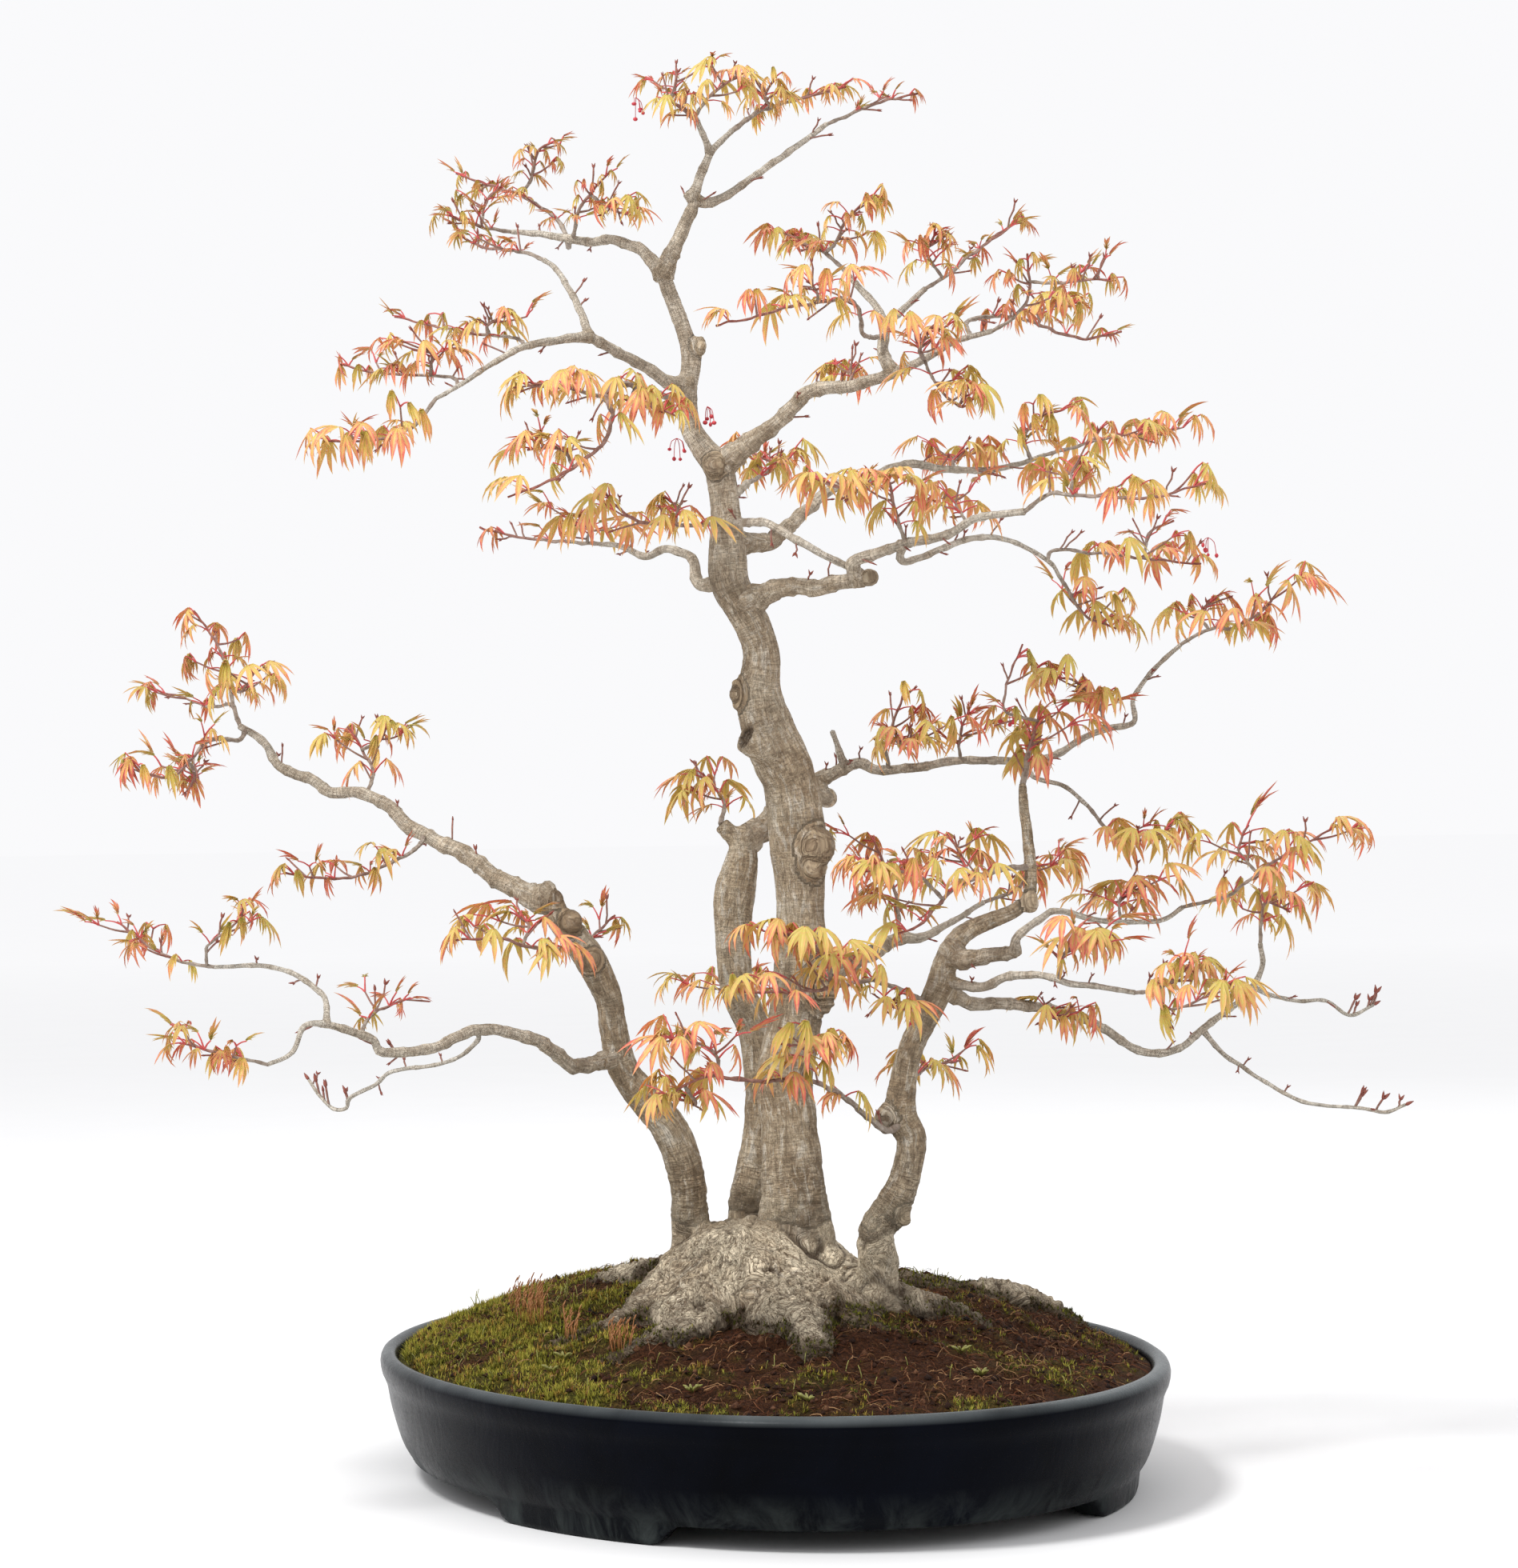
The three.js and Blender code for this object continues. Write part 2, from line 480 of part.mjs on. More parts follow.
    ['left_arm', [[466, 965, 14], [448, 930, 24], [436, 908, 30]], 5, 7, 0],
    [0, [[476, 925, -8], [484, 905, -12]], 4, 5, 1],
  ]],
  ['left_arm_low', [
    ['left_arm', [
      [521, 1060, -14], [493, 1076, -24], [450, 1094, -34], [400, 1098, -42], [355, 1090, -48],
    ], 6, 11, 1],
  ]],
  ['left_low_arch', [
    ['left_low_arch', [
      [245, 1206, 4], [218, 1200, 8], [180, 1184, 12], [150, 1162, 16], [118, 1140, 20],
    ], 5, 11, 1],
    [0, [[262, 1180, -10], [300, 1150, -16], [304, 1124, -20]], 4, 6, 1],
  ]],
  ['left_low_tip', [
    ['left_low', [[307, 1325, -6], [273, 1316, -12], [225, 1304, -18]], 5, 11, 1],
  ]],
  ['left_low_twig', [
    ['left_low', [[462, 1270, 12], [486, 1258, 20], [512, 1248, 26]], 5, 6, 1],
  ]],
  ['left_front', [
    ['left_trunk', [[700, 1187, -28], [660, 1182, -42], [620, 1172, -52], [570, 1176, -58]], 6, 10, 0],
    [0, [[660, 1156, 10], [646, 1144, 14]], 4, 6, 0],
    [0, [[736, 1176, 6], [752, 1158, 12], [768, 1144, 16]], 4, 5, 1],
  ]],
];

// Root base: height, centre x and y, half width, half depth, and how deep its ridges are
const ROOT_BASE = [
  [48, 10, -42, 100, 98, 0.15],
  [76, 8, -42, 94, 90, 0.15],
  [94, 4, -41, 84, 81, 0.12],
  [110, 0, -40, 72, 70, 0.09],
  [124, -4, -36, 57, 56, 0.06],
  [135, -6, -34, 45, 46, 0.03],
  [145, -4, -34, 30, 34, 0],
];
const ROOT_BASE_SIDES = 18;
const ROOT_BASE_CROWN = 4;
const ROOT_SIDES = 5;
const ROOT_START_SHARE = 0.5;
const ROOT_START_SHIFT = -20;
const ROOT_START_RISE = 4;
const ROOT_FLARE = 1.2;

// Surface roots: points in plan, how far the root's middle lies above the soil, and its radius
const ROOTS = [
  [[-55, -66, 4, 12], [-88, -84, 1, 8], [-118, -92, -1, 5], [-142, -96, -7, 3]],
  [[-30, -104, 2, 11], [-58, -124, 0, 8], [-88, -138, -6, 4]],
  [[46, -102, 3, 8], [78, -128, 1, 5], [112, -140, 0, 4], [134, -140, -6, 2.5]],
  [[16, -110, 2, 15], [24, -138, 1, 13], [30, -156, -4, 10]],
  [[70, -60, 3, 13], [104, -70, 0, 9], [136, -78, -7, 4]],
  [[78, 0, -4, 12], [112, 22, -3, 11], [142, 34, 2, 13], [168, 40, -2, 11], [190, 42, -12, 6]],
  [[-60, 4, 3, 13], [-92, 34, 0, 9], [-112, 70, -8, 4]],
  [[20, 36, 2, 14], [34, 78, 0, 9], [40, 116, -8, 4]],
];

// Turns a cut mesh or a list of corners and triangles into a solid
function solid(corners, triangles) {
  const vertProperties = new Float32Array(corners.flatMap((corner) => [corner.x, corner.y, corner.z]));
  const triVerts = new Uint32Array(triangles.flat());
  return new wasm.Manifold(new wasm.Mesh({ numProp: 3, vertProperties, triVerts }));
}

// Closes a stack of rings, each with the same number of corners, with a fan at both ends
function stack(rings, below, above) {
  const sides = rings[0].length;
  const corners = [...rings.flat(), below, above];
  const low = rings.length * sides;
  const triangles = [];
  for (let r = 0; r < rings.length - 1; r += 1) {
    for (let i = 0; i < sides; i += 1) {
      const j = (i + 1) % sides;
      const a = r * sides;
      const b = a + sides;
      triangles.push([a + i, a + j, b + j], [a + i, b + j, b + i]);
    }
  }
  const last = (rings.length - 1) * sides;
  for (let i = 0; i < sides; i += 1) {
    const j = (i + 1) % sides;
    triangles.push([low, j, i], [low + 1, last + i, last + j]);
  }
  return solid(corners, triangles);
}

function middle(corners) {
  return corners.reduce((sum, corner) => sum.add(corner), new THREE.Vector3()).divideScalar(corners.length);
}

// A tube with its own radius at each point, and square-cut ends
function tube(points, radii, sides, grow = 0) {
  const last = points.length - 1;
  const tangents = points.map((_, i) => points[Math.min(i + 1, last)].clone()
    .sub(points[Math.max(i - 1, 0)]).normalize());
  let side = FIRST_SIDE.clone().cross(tangents[0]).normalize();
  const rings = points.map((point, i) => {
    side = side.clone().addScaledVector(tangents[i], -side.dot(tangents[i])).normalize();
    const other = tangents[i].clone().cross(side);
    const end = i === 0 ? -grow : i === last ? grow : 0;
    const centre = point.clone().addScaledVector(tangents[i], end);
    return Array.from({ length: sides }, (_, k) => {
      const angle = (2 * Math.PI * k) / sides;
      return centre.clone()
        .addScaledVector(side, Math.cos(angle) * (radii[i] + grow))
        .addScaledVector(other, Math.sin(angle) * (radii[i] + grow));
    });
  });
  return stack(rings, middle(rings[0]), middle(rings[last]));
}

// Place in space of a point of the elevation drawing
function place(x, y, depth) {
  const across = x - DRAWING_MIDDLE[0];
  const up = DRAWING_MIDDLE[1] - y;
  const a = Math.cos(DRAWING_TURN) * across + Math.sin(DRAWING_TURN) * up;
  const b = Math.cos(DRAWING_TURN) * up - Math.sin(DRAWING_TURN) * across;
  const ahead = SQUARES_PER_RADIAN * Math.cos(DRAWING_TILT) + b * Math.sin(DRAWING_TILT);
  const rise = b * Math.cos(DRAWING_TILT) - SQUARES_PER_RADIAN * Math.sin(DRAWING_TILT);
  const reach = (depth + VIEW_DISTANCE) / ahead;
  return new THREE.Vector3(reach * a, depth, VIEW_HEIGHT + reach * rise);
}

const halfWidth = (width, depth) => (0.5 * width * (depth + VIEW_DISTANCE)) / SQUARES_PER_RADIAN;

// Repeatable random number from 0 to 1
function draw(seed, turn) {
  const value = Math.sin(seed * 12.9898 + turn * 78.233) * 43758.5453;
  return value - Math.floor(value);
}

// The point of a route that lies nearest to [x, y] on the drawing
function nearest(route, x, y) {
  let best = null;
  for (let i = 0; i < route.length - 1; i += 1) {
    const [ax, ay, ad, aw] = route[i];
    const [bx, by, bd, bw] = route[i + 1];
    const length = (bx - ax) ** 2 + (by - ay) ** 2;
    const share = THREE.MathUtils.clamp(((x - ax) * (bx - ax) + (y - ay) * (by - ay)) / length, 0, 1);
    const at = [ax + share * (bx - ax), ay + share * (by - ay), ad + share * (bd - ad),
      aw + share * (bw - aw)];
    const miss = Math.hypot(x - at[0], y - at[1]);
    if (best === null || miss < best.miss) {
      best = { miss, at };
    }
  }
  return best.at;
}

// A route without the points that hardly bend it or change its width
function thinned(route, allowed) {
  const all = route.map(([x, y, depth, width]) => (
    { at: place(x, y, depth), radius: halfWidth(width, depth) }));
  const keep = (first, last) => {
    const line = new THREE.Line3(all[first].at, all[last].at);
    let worst = first;
    let miss = 0;
    for (let i = first + 1; i < last; i += 1) {
      const foot = line.closestPointToPoint(all[i].at, true, new THREE.Vector3());
      const share = foot.distanceTo(all[first].at) / line.distance();
      const straight = all[first].radius + share * (all[last].radius - all[first].radius);
      const off = foot.distanceTo(all[i].at) + Math.abs(all[i].radius - straight);
      if (off > miss) {
        miss = off;
        worst = i;
      }
    }
    return miss > allowed ? [...keep(first, worst), ...keep(worst, last)] : [route[first]];
  };
  return [...keep(0, all.length - 1), route[all.length - 1]];
}

// All limb routes with their true depths
const routes = {};
for (const [name, route] of Object.entries(TRUNKS)) {
  routes[name] = thinned(route, LIMB_BEND_KEPT);
}
for (const [name, parent, points] of BRANCHES) {
  const start = nearest(routes[parent], points[0][0], points[0][1]);
  const own = points.map(([x, y, depth, width]) => [x, y, start[2] + DEPTH_SPREAD * depth, width]);
  const first = [start[0], start[1], start[2], Math.min(start[3], points[0][3] * LIMB_FLARE)];
  routes[name] = thinned([first, ...own], LIMB_BEND_KEPT);
}

const limbSides = (width) => LIMB_SIDES.find(([least]) => width > least)[1];

function limb(route, grow) {
  const points = route.map(([x, y, depth]) => place(x, y, depth));
  const radii = route.map(([, , depth, width]) => halfWidth(width, depth));
  return tube(points, radii, limbSides(route[0][3]), grow);
}

// A point of the pot's oval: share of the half sizes, moved in by an inset, at a height
function potPoint(turn, inset, height, share = 1) {
  const along = share * (POT_LENGTH / 2 - inset) * Math.cos(turn);
  const across = share * (POT_WIDTH / 2 - WIDTH_INSET_SHARE * inset) * Math.sin(turn);
  return new THREE.Vector3(
    along * Math.cos(POT_TURN) - across * Math.sin(POT_TURN),
    along * Math.sin(POT_TURN) + across * Math.cos(POT_TURN),
    height,
  );
}

function potRing(inset, height, share = 1) {
  return Array.from({ length: POT_SIDES }, (_, i) => (
    potPoint((2 * Math.PI * i) / POT_SIDES, inset, height, share)));
}

// Height of the soil at a place in plan
function soilHeight(x, y) {
  const along = x * Math.cos(POT_TURN) + y * Math.sin(POT_TURN);
  const across = y * Math.cos(POT_TURN) - x * Math.sin(POT_TURN);
  const share = Math.min(1, Math.hypot(
    along / (POT_LENGTH / 2 - MOUND_INSETS[0]), across / (POT_WIDTH / 2 - MOUND_INSETS[1])));
  const rise = MOUND_RISE + (MOUND_BACK_RISE * y) / (POT_LENGTH / 2);
  return SOIL_EDGE + rise * (1 - share ** MOUND_POWER);
}

// Pot body: outside from the bottom edge up, over the rim, and down the inside to the floor
function potSolid() {
  const rings = POT_PROFILE.map(([inset, height]) => potRing(inset, height));
  let pot = stack(rings, new THREE.Vector3(0, 0, FOOT_HEIGHT), new THREE.Vector3(0, 0, FLOOR_TOP));
  for (const turn of FOOT_MIDDLES) {
    pot = pot.add(potFoot(turn));
  }
  for (const offset of [-DRAIN_OFFSET, DRAIN_OFFSET]) {
    const ends = [FOOT_HEIGHT - DRAIN_OVERRUN, FLOOR_TOP + DRAIN_OVERRUN].map((height) => new THREE.Vector3(
      offset * Math.cos(POT_TURN), offset * Math.sin(POT_TURN), height));
    pot = pot.subtract(tube(ends, [DRAIN_RADIUS, DRAIN_RADIUS], DRAIN_SIDES));
  }
  return pot;
}

// One foot: a curved bar under the wall with sloped ends, flat below
function potFoot(turn) {
  const { outerLow, outerHigh, innerHigh, innerLow } = FOOT_INSETS;
  const top = FOOT_HEIGHT + FOOT_SINK;
  const rings = [];
  for (let i = 0; i <= FOOT_STEPS; i += 1) {
    const share = (2 * i) / FOOT_STEPS - 1;
    const low = turn + share * (FOOT_HALF_ANGLE - FOOT_END_SLOPE);
    const high = turn + share * FOOT_HALF_ANGLE;
    rings.push([
      potPoint(low, innerLow, 0), potPoint(high, innerHigh, top),
      potPoint(high, outerHigh, top), potPoint(low, outerLow, 0)]);
  }
  return stack(rings, middle(rings[0]), middle(rings[FOOT_STEPS]));
}

// Soil: fills the pot 0.3 mm clear of it and rises to the root base
function soilSolid(treeBase) {
  const rings = SOIL_SIDES.map(([inset, height]) => potRing(inset, height));
  for (const share of MOUND_SHARES) {
    rings.push(potRing(SOIL_INSET, 0, share).map((point) => point.setZ(soilHeight(point.x, point.y))));
  }
  const low = new THREE.Vector3(0, 0, FLOOR_TOP + GAP);
  const high = new THREE.Vector3(0, 0, soilHeight(0, 0));
  return stack(rings, low, high).subtract(treeBase);
}

function rootBase(grow) {
  const rings = ROOT_BASE.map(([height, x, y, wide, deep, ridge], level) => Array.from(
    { length: ROOT_BASE_SIDES },
    (_, i) => {
      const turn = (2 * Math.PI * i) / ROOT_BASE_SIDES;
      const lobes = 1 + ridge * (Math.cos(5 * turn + 0.8) + 0.5 * Math.cos(9 * turn + level));
      return new THREE.Vector3(
        x + (wide * lobes + grow) * Math.cos(turn), y + (deep * lobes + grow) * Math.sin(turn),
        level === 0 ? height - grow : height + grow);
    },
  ));
  const [bottom, top] = [ROOT_BASE[0], ROOT_BASE[ROOT_BASE.length - 1]];
  return stack(rings, new THREE.Vector3(bottom[1], bottom[2], bottom[0] - grow),
    new THREE.Vector3(top[1], top[2], top[0] + ROOT_BASE_CROWN + grow));
}

function surfaceRoot(points, grow) {
  const middles = points.map(([x, y, lift]) => new THREE.Vector3(x, y, soilHeight(x, y) + lift));
  const inner = new THREE.Vector3(
    points[0][0] * ROOT_START_SHARE,
    points[0][1] * ROOT_START_SHARE + ROOT_START_SHIFT,
    middles[0].z + ROOT_START_RISE);
  const radii = points.map((point) => point[3]);
  return tube([inner, ...middles], [radii[0] * ROOT_FLARE, ...radii], ROOT_SIDES, grow);
}

// The part of the tree that the soil has to clear, grown by the gap
function treeFoot(grow) {
  let foot = rootBase(grow);
  for (const points of ROOTS) {
    foot = foot.add(surfaceRoot(points, grow));
  }
  return foot;
}

function treeSolid(grow = 0) {
  let tree = treeFoot(grow);
  for (const route of Object.values(routes)) {
    tree = tree.add(limb(route, grow));
  }
  return tree;
}

// Keeps the largest body of a solid and leaves out loose scraps
function largestBody(shape) {
  const mesh = shape.getMesh();
  const owner = Array.from({ length: mesh.vertProperties.length / 3 }, (_, i) => i);
  const root = (i) => {
    let at = i;
    while (owner[at] !== at) {
      owner[at] = owner[owner[at]];
      at = owner[at];
    }
    return at;
  };
  const triangles = [];
  for (let t = 0; t < mesh.triVerts.length; t += 3) {
    const triangle = [mesh.triVerts[t], mesh.triVerts[t + 1], mesh.triVerts[t + 2]];
    triangles.push(triangle);
    owner[root(triangle[0])] = root(triangle[1]);
    owner[root(triangle[1])] = root(triangle[2]);
  }
  const bodies = new Map();
  for (const triangle of triangles) {
    const key = root(triangle[0]);
    bodies.set(key, [...(bodies.get(key) ?? []), triangle]);
  }
  const largest = [...bodies.values()].reduce((a, b) => (a.length >= b.length ? a : b));
  const corners = Array.from({ length: owner.length }, (_, i) => new THREE.Vector3(
    mesh.vertProperties[3 * i], mesh.vertProperties[3 * i + 1], mesh.vertProperties[3 * i + 2]));
  const used = [...new Set(largest.flat())];
  const index = new Map(used.map((corner, i) => [corner, i]));
  return solid(used.map((i) => corners[i]), largest.map((triangle) => triangle.map((i) => index.get(i))));
}

// A value of a leaf form: its least value and a share of its range
const vary = ([least, range], seed, turn) => least + range * draw(seed, turn);

// A palmate leaf: stalk and five lobes as one thin blade round a hub
function leafSolid(base, stalk, heading, rise, size, form, seed) {
  const out = new THREE.Vector3(Math.cos(heading), Math.sin(heading), 0);
  const hub = base.clone().addScaledVector(out, stalk * Math.cos(rise));
  hub.z += stalk * Math.sin(rise);
  const pitch = vary(form.pitch, seed, 5);
  const roll = LEAF_ROLL * (draw(seed, 6) - 0.5);
  const tipDrop = vary(form.drop, seed, 7);
  const ahead = out.clone().multiplyScalar(Math.cos(pitch)).setZ(Math.sin(pitch));
  const left = new THREE.Vector3(-out.y, out.x, 0).applyAxisAngle(ahead, roll);
  const normal = ahead.clone().cross(left);
  const point = (angle, radius, drop) => hub.clone()
    .addScaledVector(ahead, Math.cos(angle) * radius)
    .addScaledVector(left, Math.sin(angle) * radius)
    .addScaledVector(normal, -drop);
  const outline = [];
  for (const [step, share] of LOBES) {
    const angle = step * form.spread;
    const reach = size * share;
    outline.push(point(angle, reach * Math.cos(DROOP_SHORTENING * tipDrop), tipDrop * reach));
    if (step < LOBES.at(-1)[0]) {
      outline.push(point(angle + form.spread / 2, NOTCH_REACH * size, NOTCH_DROP * tipDrop * size));
    }
  }
  const heel = LOBES.at(-1)[0] * form.spread + HEEL_TURN;
  outline.push(point(heel, HEEL_REACH * size, 0));
  outline.push(base.clone().addScaledVector(out, -STALK_SINK));
  outline.push(point(-heel, HEEL_REACH * size, 0));
  const top = hub.clone().addScaledVector(normal, LEAF_THICKNESS / 2);
  const under = hub.clone().addScaledVector(normal, -LEAF_THICKNESS / 2);
  const count = outline.length;
  const triangles = [];
  for (let i = 0; i < count; i += 1) {
    const j = (i + 1) % count;
    triangles.push([count, i, j], [count + 1, j, i]);
  }
  return { shape: solid([...outline, top, under], triangles), corners: outline };
}

// Volume of a solid, from its triangles
function volume(shape) {
  const { vertProperties, triVerts } = shape.getMesh();
  const corner = (i) => new THREE.Vector3().fromArray(vertProperties, 3 * i);
  let total = 0;
  for (let t = 0; t < triVerts.length; t += 3) {
    total += corner(triVerts[t]).dot(corner(triVerts[t + 1]).cross(corner(triVerts[t + 2]))) / 6;
  }
  return total;
}

const isEmpty = (shape) => shape.getMesh().triVerts.length === 0;

function boxOf(points, margin) {
  return new THREE.Box3().setFromPoints(points).expandByScalar(margin);
}

// A stem's points in space, from the middle of what it grows from to its tip
function stemRoute(parentRoute, points, width) {
  const start = nearest(parentRoute, points[0][0], points[0][1]);
  const last = points.length;
  const taper = (i) => width + ((STEM_TIP_WIDTH - width) * i) / last;
  const own = points.map(([x, y, depth], i) => [x, y, start[2] + DEPTH_SPREAD * depth, taper(i + 1)]);
  return thinned([[start[0], start[1], start[2], width], ...own], STEM_BEND_KEPT);
}

// Point and heading at a share of a stem's length
function alongStem(points, share) {
  const lengths = points.slice(1).map((point, i) => point.distanceTo(points[i]));
  let rest = share * lengths.reduce((sum, length) => sum + length, 0);
  let i = 0;
  while (i < lengths.length - 1 && rest > lengths[i]) {
    rest -= lengths[i];
    i += 1;
  }
  const step = points[i + 1].clone().sub(points[i]);
  const at = points[i].clone().addScaledVector(step, rest / lengths[i]);
  return { at, heading: Math.atan2(step.y, step.x) };
}

// Whether leaf number i of a stem is one of the share that is built
const isBuilt = (i) => Math.floor((i + 1) * LEAF_SHARE + 0.5) > Math.floor(i * LEAF_SHARE + 0.5);

// Leaves of one stem: opposite pairs along its outer part, turned from pair to pair
function leafPlans(points, count, form, seed) {
  const pairs = Math.ceil(count / 2);
  const plans = [];
  for (let i = 0; i < count; i += 1) {
    if (!isBuilt(i)) {
      continue;
    }
    const pair = Math.floor(i / 2);
    const { at, heading } = alongStem(points, FIRST_PAIR + (PAIR_STRETCH * (pair + 0.5)) / pairs);
    const side = i % 2 === 0 ? 1 : -1;
    const open = pair === pairs - 1 ? TIP_ANGLE : PAIR_ANGLES[pair % 2];
    const id = seed + 10 * i;
    plans.push({
      id,
      at,
      heading: heading + side * (open + ANGLE_RANGE * (draw(id, 1) - 0.5)),
      stalk: vary(form.stalk, id, 2),
      rise: vary(form.rise, id, 3),
      size: LEAF_LENGTH * vary(form.size, id, 4),
    });
  }
  return plans;
}

// Ways to turn a leaf aside where it would cross something else: turn, lift and share of its size
const DODGES = [
  [0, 0, 1], [0.5, 0, 1], [-0.5, 0, 1], [0, 0.5, 1], [1, 0.2, 0.9], [-1, 0.2, 0.9], [0, -0.5, 0.9],
  [1.6, 0.3, 0.85], [-1.6, 0.3, 0.85], [0, 0.9, 0.8], [2.2, 0.6, 0.75], [-2.2, 0.6, 0.75],
];

function buildSprays(clearTree) {
  const stems = SPRAYS.map(([name, parts]) => {
    const own = [];
    for (const [parent, points, width] of parts) {
      own.push(stemRoute(typeof parent === 'number' ? own[parent] : routes[parent], points, width));
    }
    const spaces = own.map((route) => route.map(([x, y, depth]) => place(x, y, depth)));
    const tubes = own.map((route, i) => tube(
      spaces[i], route.map(([, , depth, width]) => STEM_FULLNESS * halfWidth(width, depth)), STEM_SIDES));
    const joined = tubes.reduce((sum, part) => sum.add(part)).subtract(clearTree);
    return { name, spaces, shape: largestBody(joined), box: boxOf(spaces.flat(), BOX_MARGIN) };
  });
  const placed = [];
  return stems.map((stem, k) => {
    let shape = stem.shape;
    SPRAYS[k][1].forEach(([, , , count, young], s) => {
      const form = young === 1 ? YOUNG_LEAF : OPEN_LEAF;
      const seed = SPRAY_SEEDS * k + STEM_SEEDS * s;
      for (const plan of leafPlans(stem.spaces[s], count, form, seed)) {
        for (const [turn, lift, scale] of DODGES) {
          const leaf = leafSolid(
            plan.at, plan.stalk, plan.heading + turn, plan.rise + lift, plan.size * scale, form, plan.id);
          const box = boxOf(leaf.corners, BOX_MARGIN);
          const hitsOther = placed.some((item) => item.box.intersectsBox(box)
              && volume(item.shape.intersect(leaf.shape)) > (item.k === k ? TOUCH_VOLUME : 0))
            || stems.some((other, j) => j !== k && other.box.intersectsBox(box)
              && !isEmpty(other.shape.intersect(leaf.shape)));
          const hitsStem = volume(stem.shape.intersect(leaf.shape)) > STALK_VOLUME;
          if (!hitsOther && !hitsStem && isEmpty(clearTree.intersect(leaf.shape))) {
            placed.push({ shape: leaf.shape, box, k });
            shape = shape.add(leaf.shape);
            break;
          }
        }
      }
    });
    return { name: stem.name, shape: largestBody(shape), young: SPRAYS[k][1][0][4] === 1 };
  });
}

function toMesh(name, shape, color, roughness) {
  const { vertProperties, triVerts } = shape.getMesh();
  const geometry = new THREE.BufferGeometry();
  geometry.setAttribute('position', new THREE.BufferAttribute(vertProperties, 3));
  geometry.setIndex(new THREE.BufferAttribute(triVerts, 1));
  const mesh = new THREE.Mesh(geometry, new THREE.MeshStandardMaterial({ color, roughness, metalness: 0 }));
  mesh.name = name;
  return mesh;
}

const bonsai = new THREE.Group();
const clearTree = treeSolid(GAP);
bonsai.add(toMesh('pot', potSolid(), '#10141d', 0.25));
bonsai.add(toMesh('soil', largestBody(soilSolid(treeFoot(GAP))), '#33241a', 0.95));
bonsai.add(toMesh('tree', treeSolid(), '#a5957f', 0.85));
for (const { name, shape, young } of buildSprays(clearTree)) {
  bonsai.add(toMesh(`spray_${name}`, shape, young ? '#c4523f' : '#cf9a45', 0.6));
}

// The origin is under the middle of the whole bonsai
const whole = new THREE.Box3().setFromObject(bonsai);
for (const mesh of bonsai.children) {
  mesh.geometry.translate(-(whole.min.x + whole.max.x) / 2, -(whole.min.y + whole.max.y) / 2, -whole.min.z);
}

export default bonsai;
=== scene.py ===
import math

import bpy
import numpy as np
from mathutils import Matrix, Vector, noise


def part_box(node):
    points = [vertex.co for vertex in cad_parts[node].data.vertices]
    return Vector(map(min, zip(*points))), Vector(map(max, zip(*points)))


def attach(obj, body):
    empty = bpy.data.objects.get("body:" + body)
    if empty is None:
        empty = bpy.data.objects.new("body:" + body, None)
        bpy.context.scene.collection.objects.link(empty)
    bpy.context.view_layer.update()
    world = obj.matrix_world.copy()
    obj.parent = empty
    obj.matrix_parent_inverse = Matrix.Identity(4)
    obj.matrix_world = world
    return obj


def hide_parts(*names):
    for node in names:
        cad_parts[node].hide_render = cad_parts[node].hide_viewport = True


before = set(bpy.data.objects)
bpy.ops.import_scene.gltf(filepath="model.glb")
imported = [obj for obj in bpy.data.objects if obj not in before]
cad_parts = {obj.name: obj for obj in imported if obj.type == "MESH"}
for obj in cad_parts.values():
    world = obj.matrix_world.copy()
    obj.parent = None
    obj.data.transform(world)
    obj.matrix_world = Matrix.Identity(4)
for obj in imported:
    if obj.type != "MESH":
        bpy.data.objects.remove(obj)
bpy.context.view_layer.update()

MM = 0.001
pot_low, pot_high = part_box("pot")
POT_MIDDLE = np.array([(pot_low.x + pot_high.x) / 2, (pot_low.y + pot_high.y) / 2, 0])
UP = np.array([0, 0, 1])

# Pot: its wall is given from the outside round the rim to the floor, as inset and height
POT_LENGTH = 600
POT_WIDTH = 434
POT_HEIGHT = 72
POT_TURN = math.radians(-74)
POT_SIDES = 256
POT_WALL = [
    [22, 12.5], [15, 22], [8, 40], [4.5, 54], [1.2, 60], [0, 66], [1.6, 70.2], [5, 72], [9.3, 71.7],
    [12.6, 68], [14.5, 58], [19, 40], [27, 22]]
WALL_STEP = 2.8
WIDTH_INSET_SHARE = 0.77
FLOOR_TOP = 22
FOOT_HEIGHT = 11
FOOT_MIDDLES = np.radians([52, 128, 232, 308])
FOOT_HALF_ANGLE = math.radians(17)
FOOT_END_SLOPE = math.radians(4)

# Soil: a mound, higher behind the tree
SOIL_SIDES = 340
SOIL_SHARES = np.concatenate([np.linspace(1, 0.3, 86), np.linspace(0.27, 0.02, 6)])
SOIL_BOTTOM = FLOOR_TOP + 0.3
SOIL_WALL = [(27.4, SOIL_BOTTOM), (19.4, 40), (15, 58)]
SOIL_EDGE = 66.5
SOIL_INSET = 13.4
MOUND_RISE = 46
MOUND_BACK_RISE = 28
MOUND_POWER = 1.8
MOUND_INSETS = (13, 10)
BASE_MIDDLE = np.array([2, -41])

# Noise on the soil: height, scale and shift
SOIL_RELIEF = [(2.4, 0.045, 1.3), (2.2, 0.12, 5.1), (1.5, 0.28, 9.2), (0.7, 0.6, 2.6)]

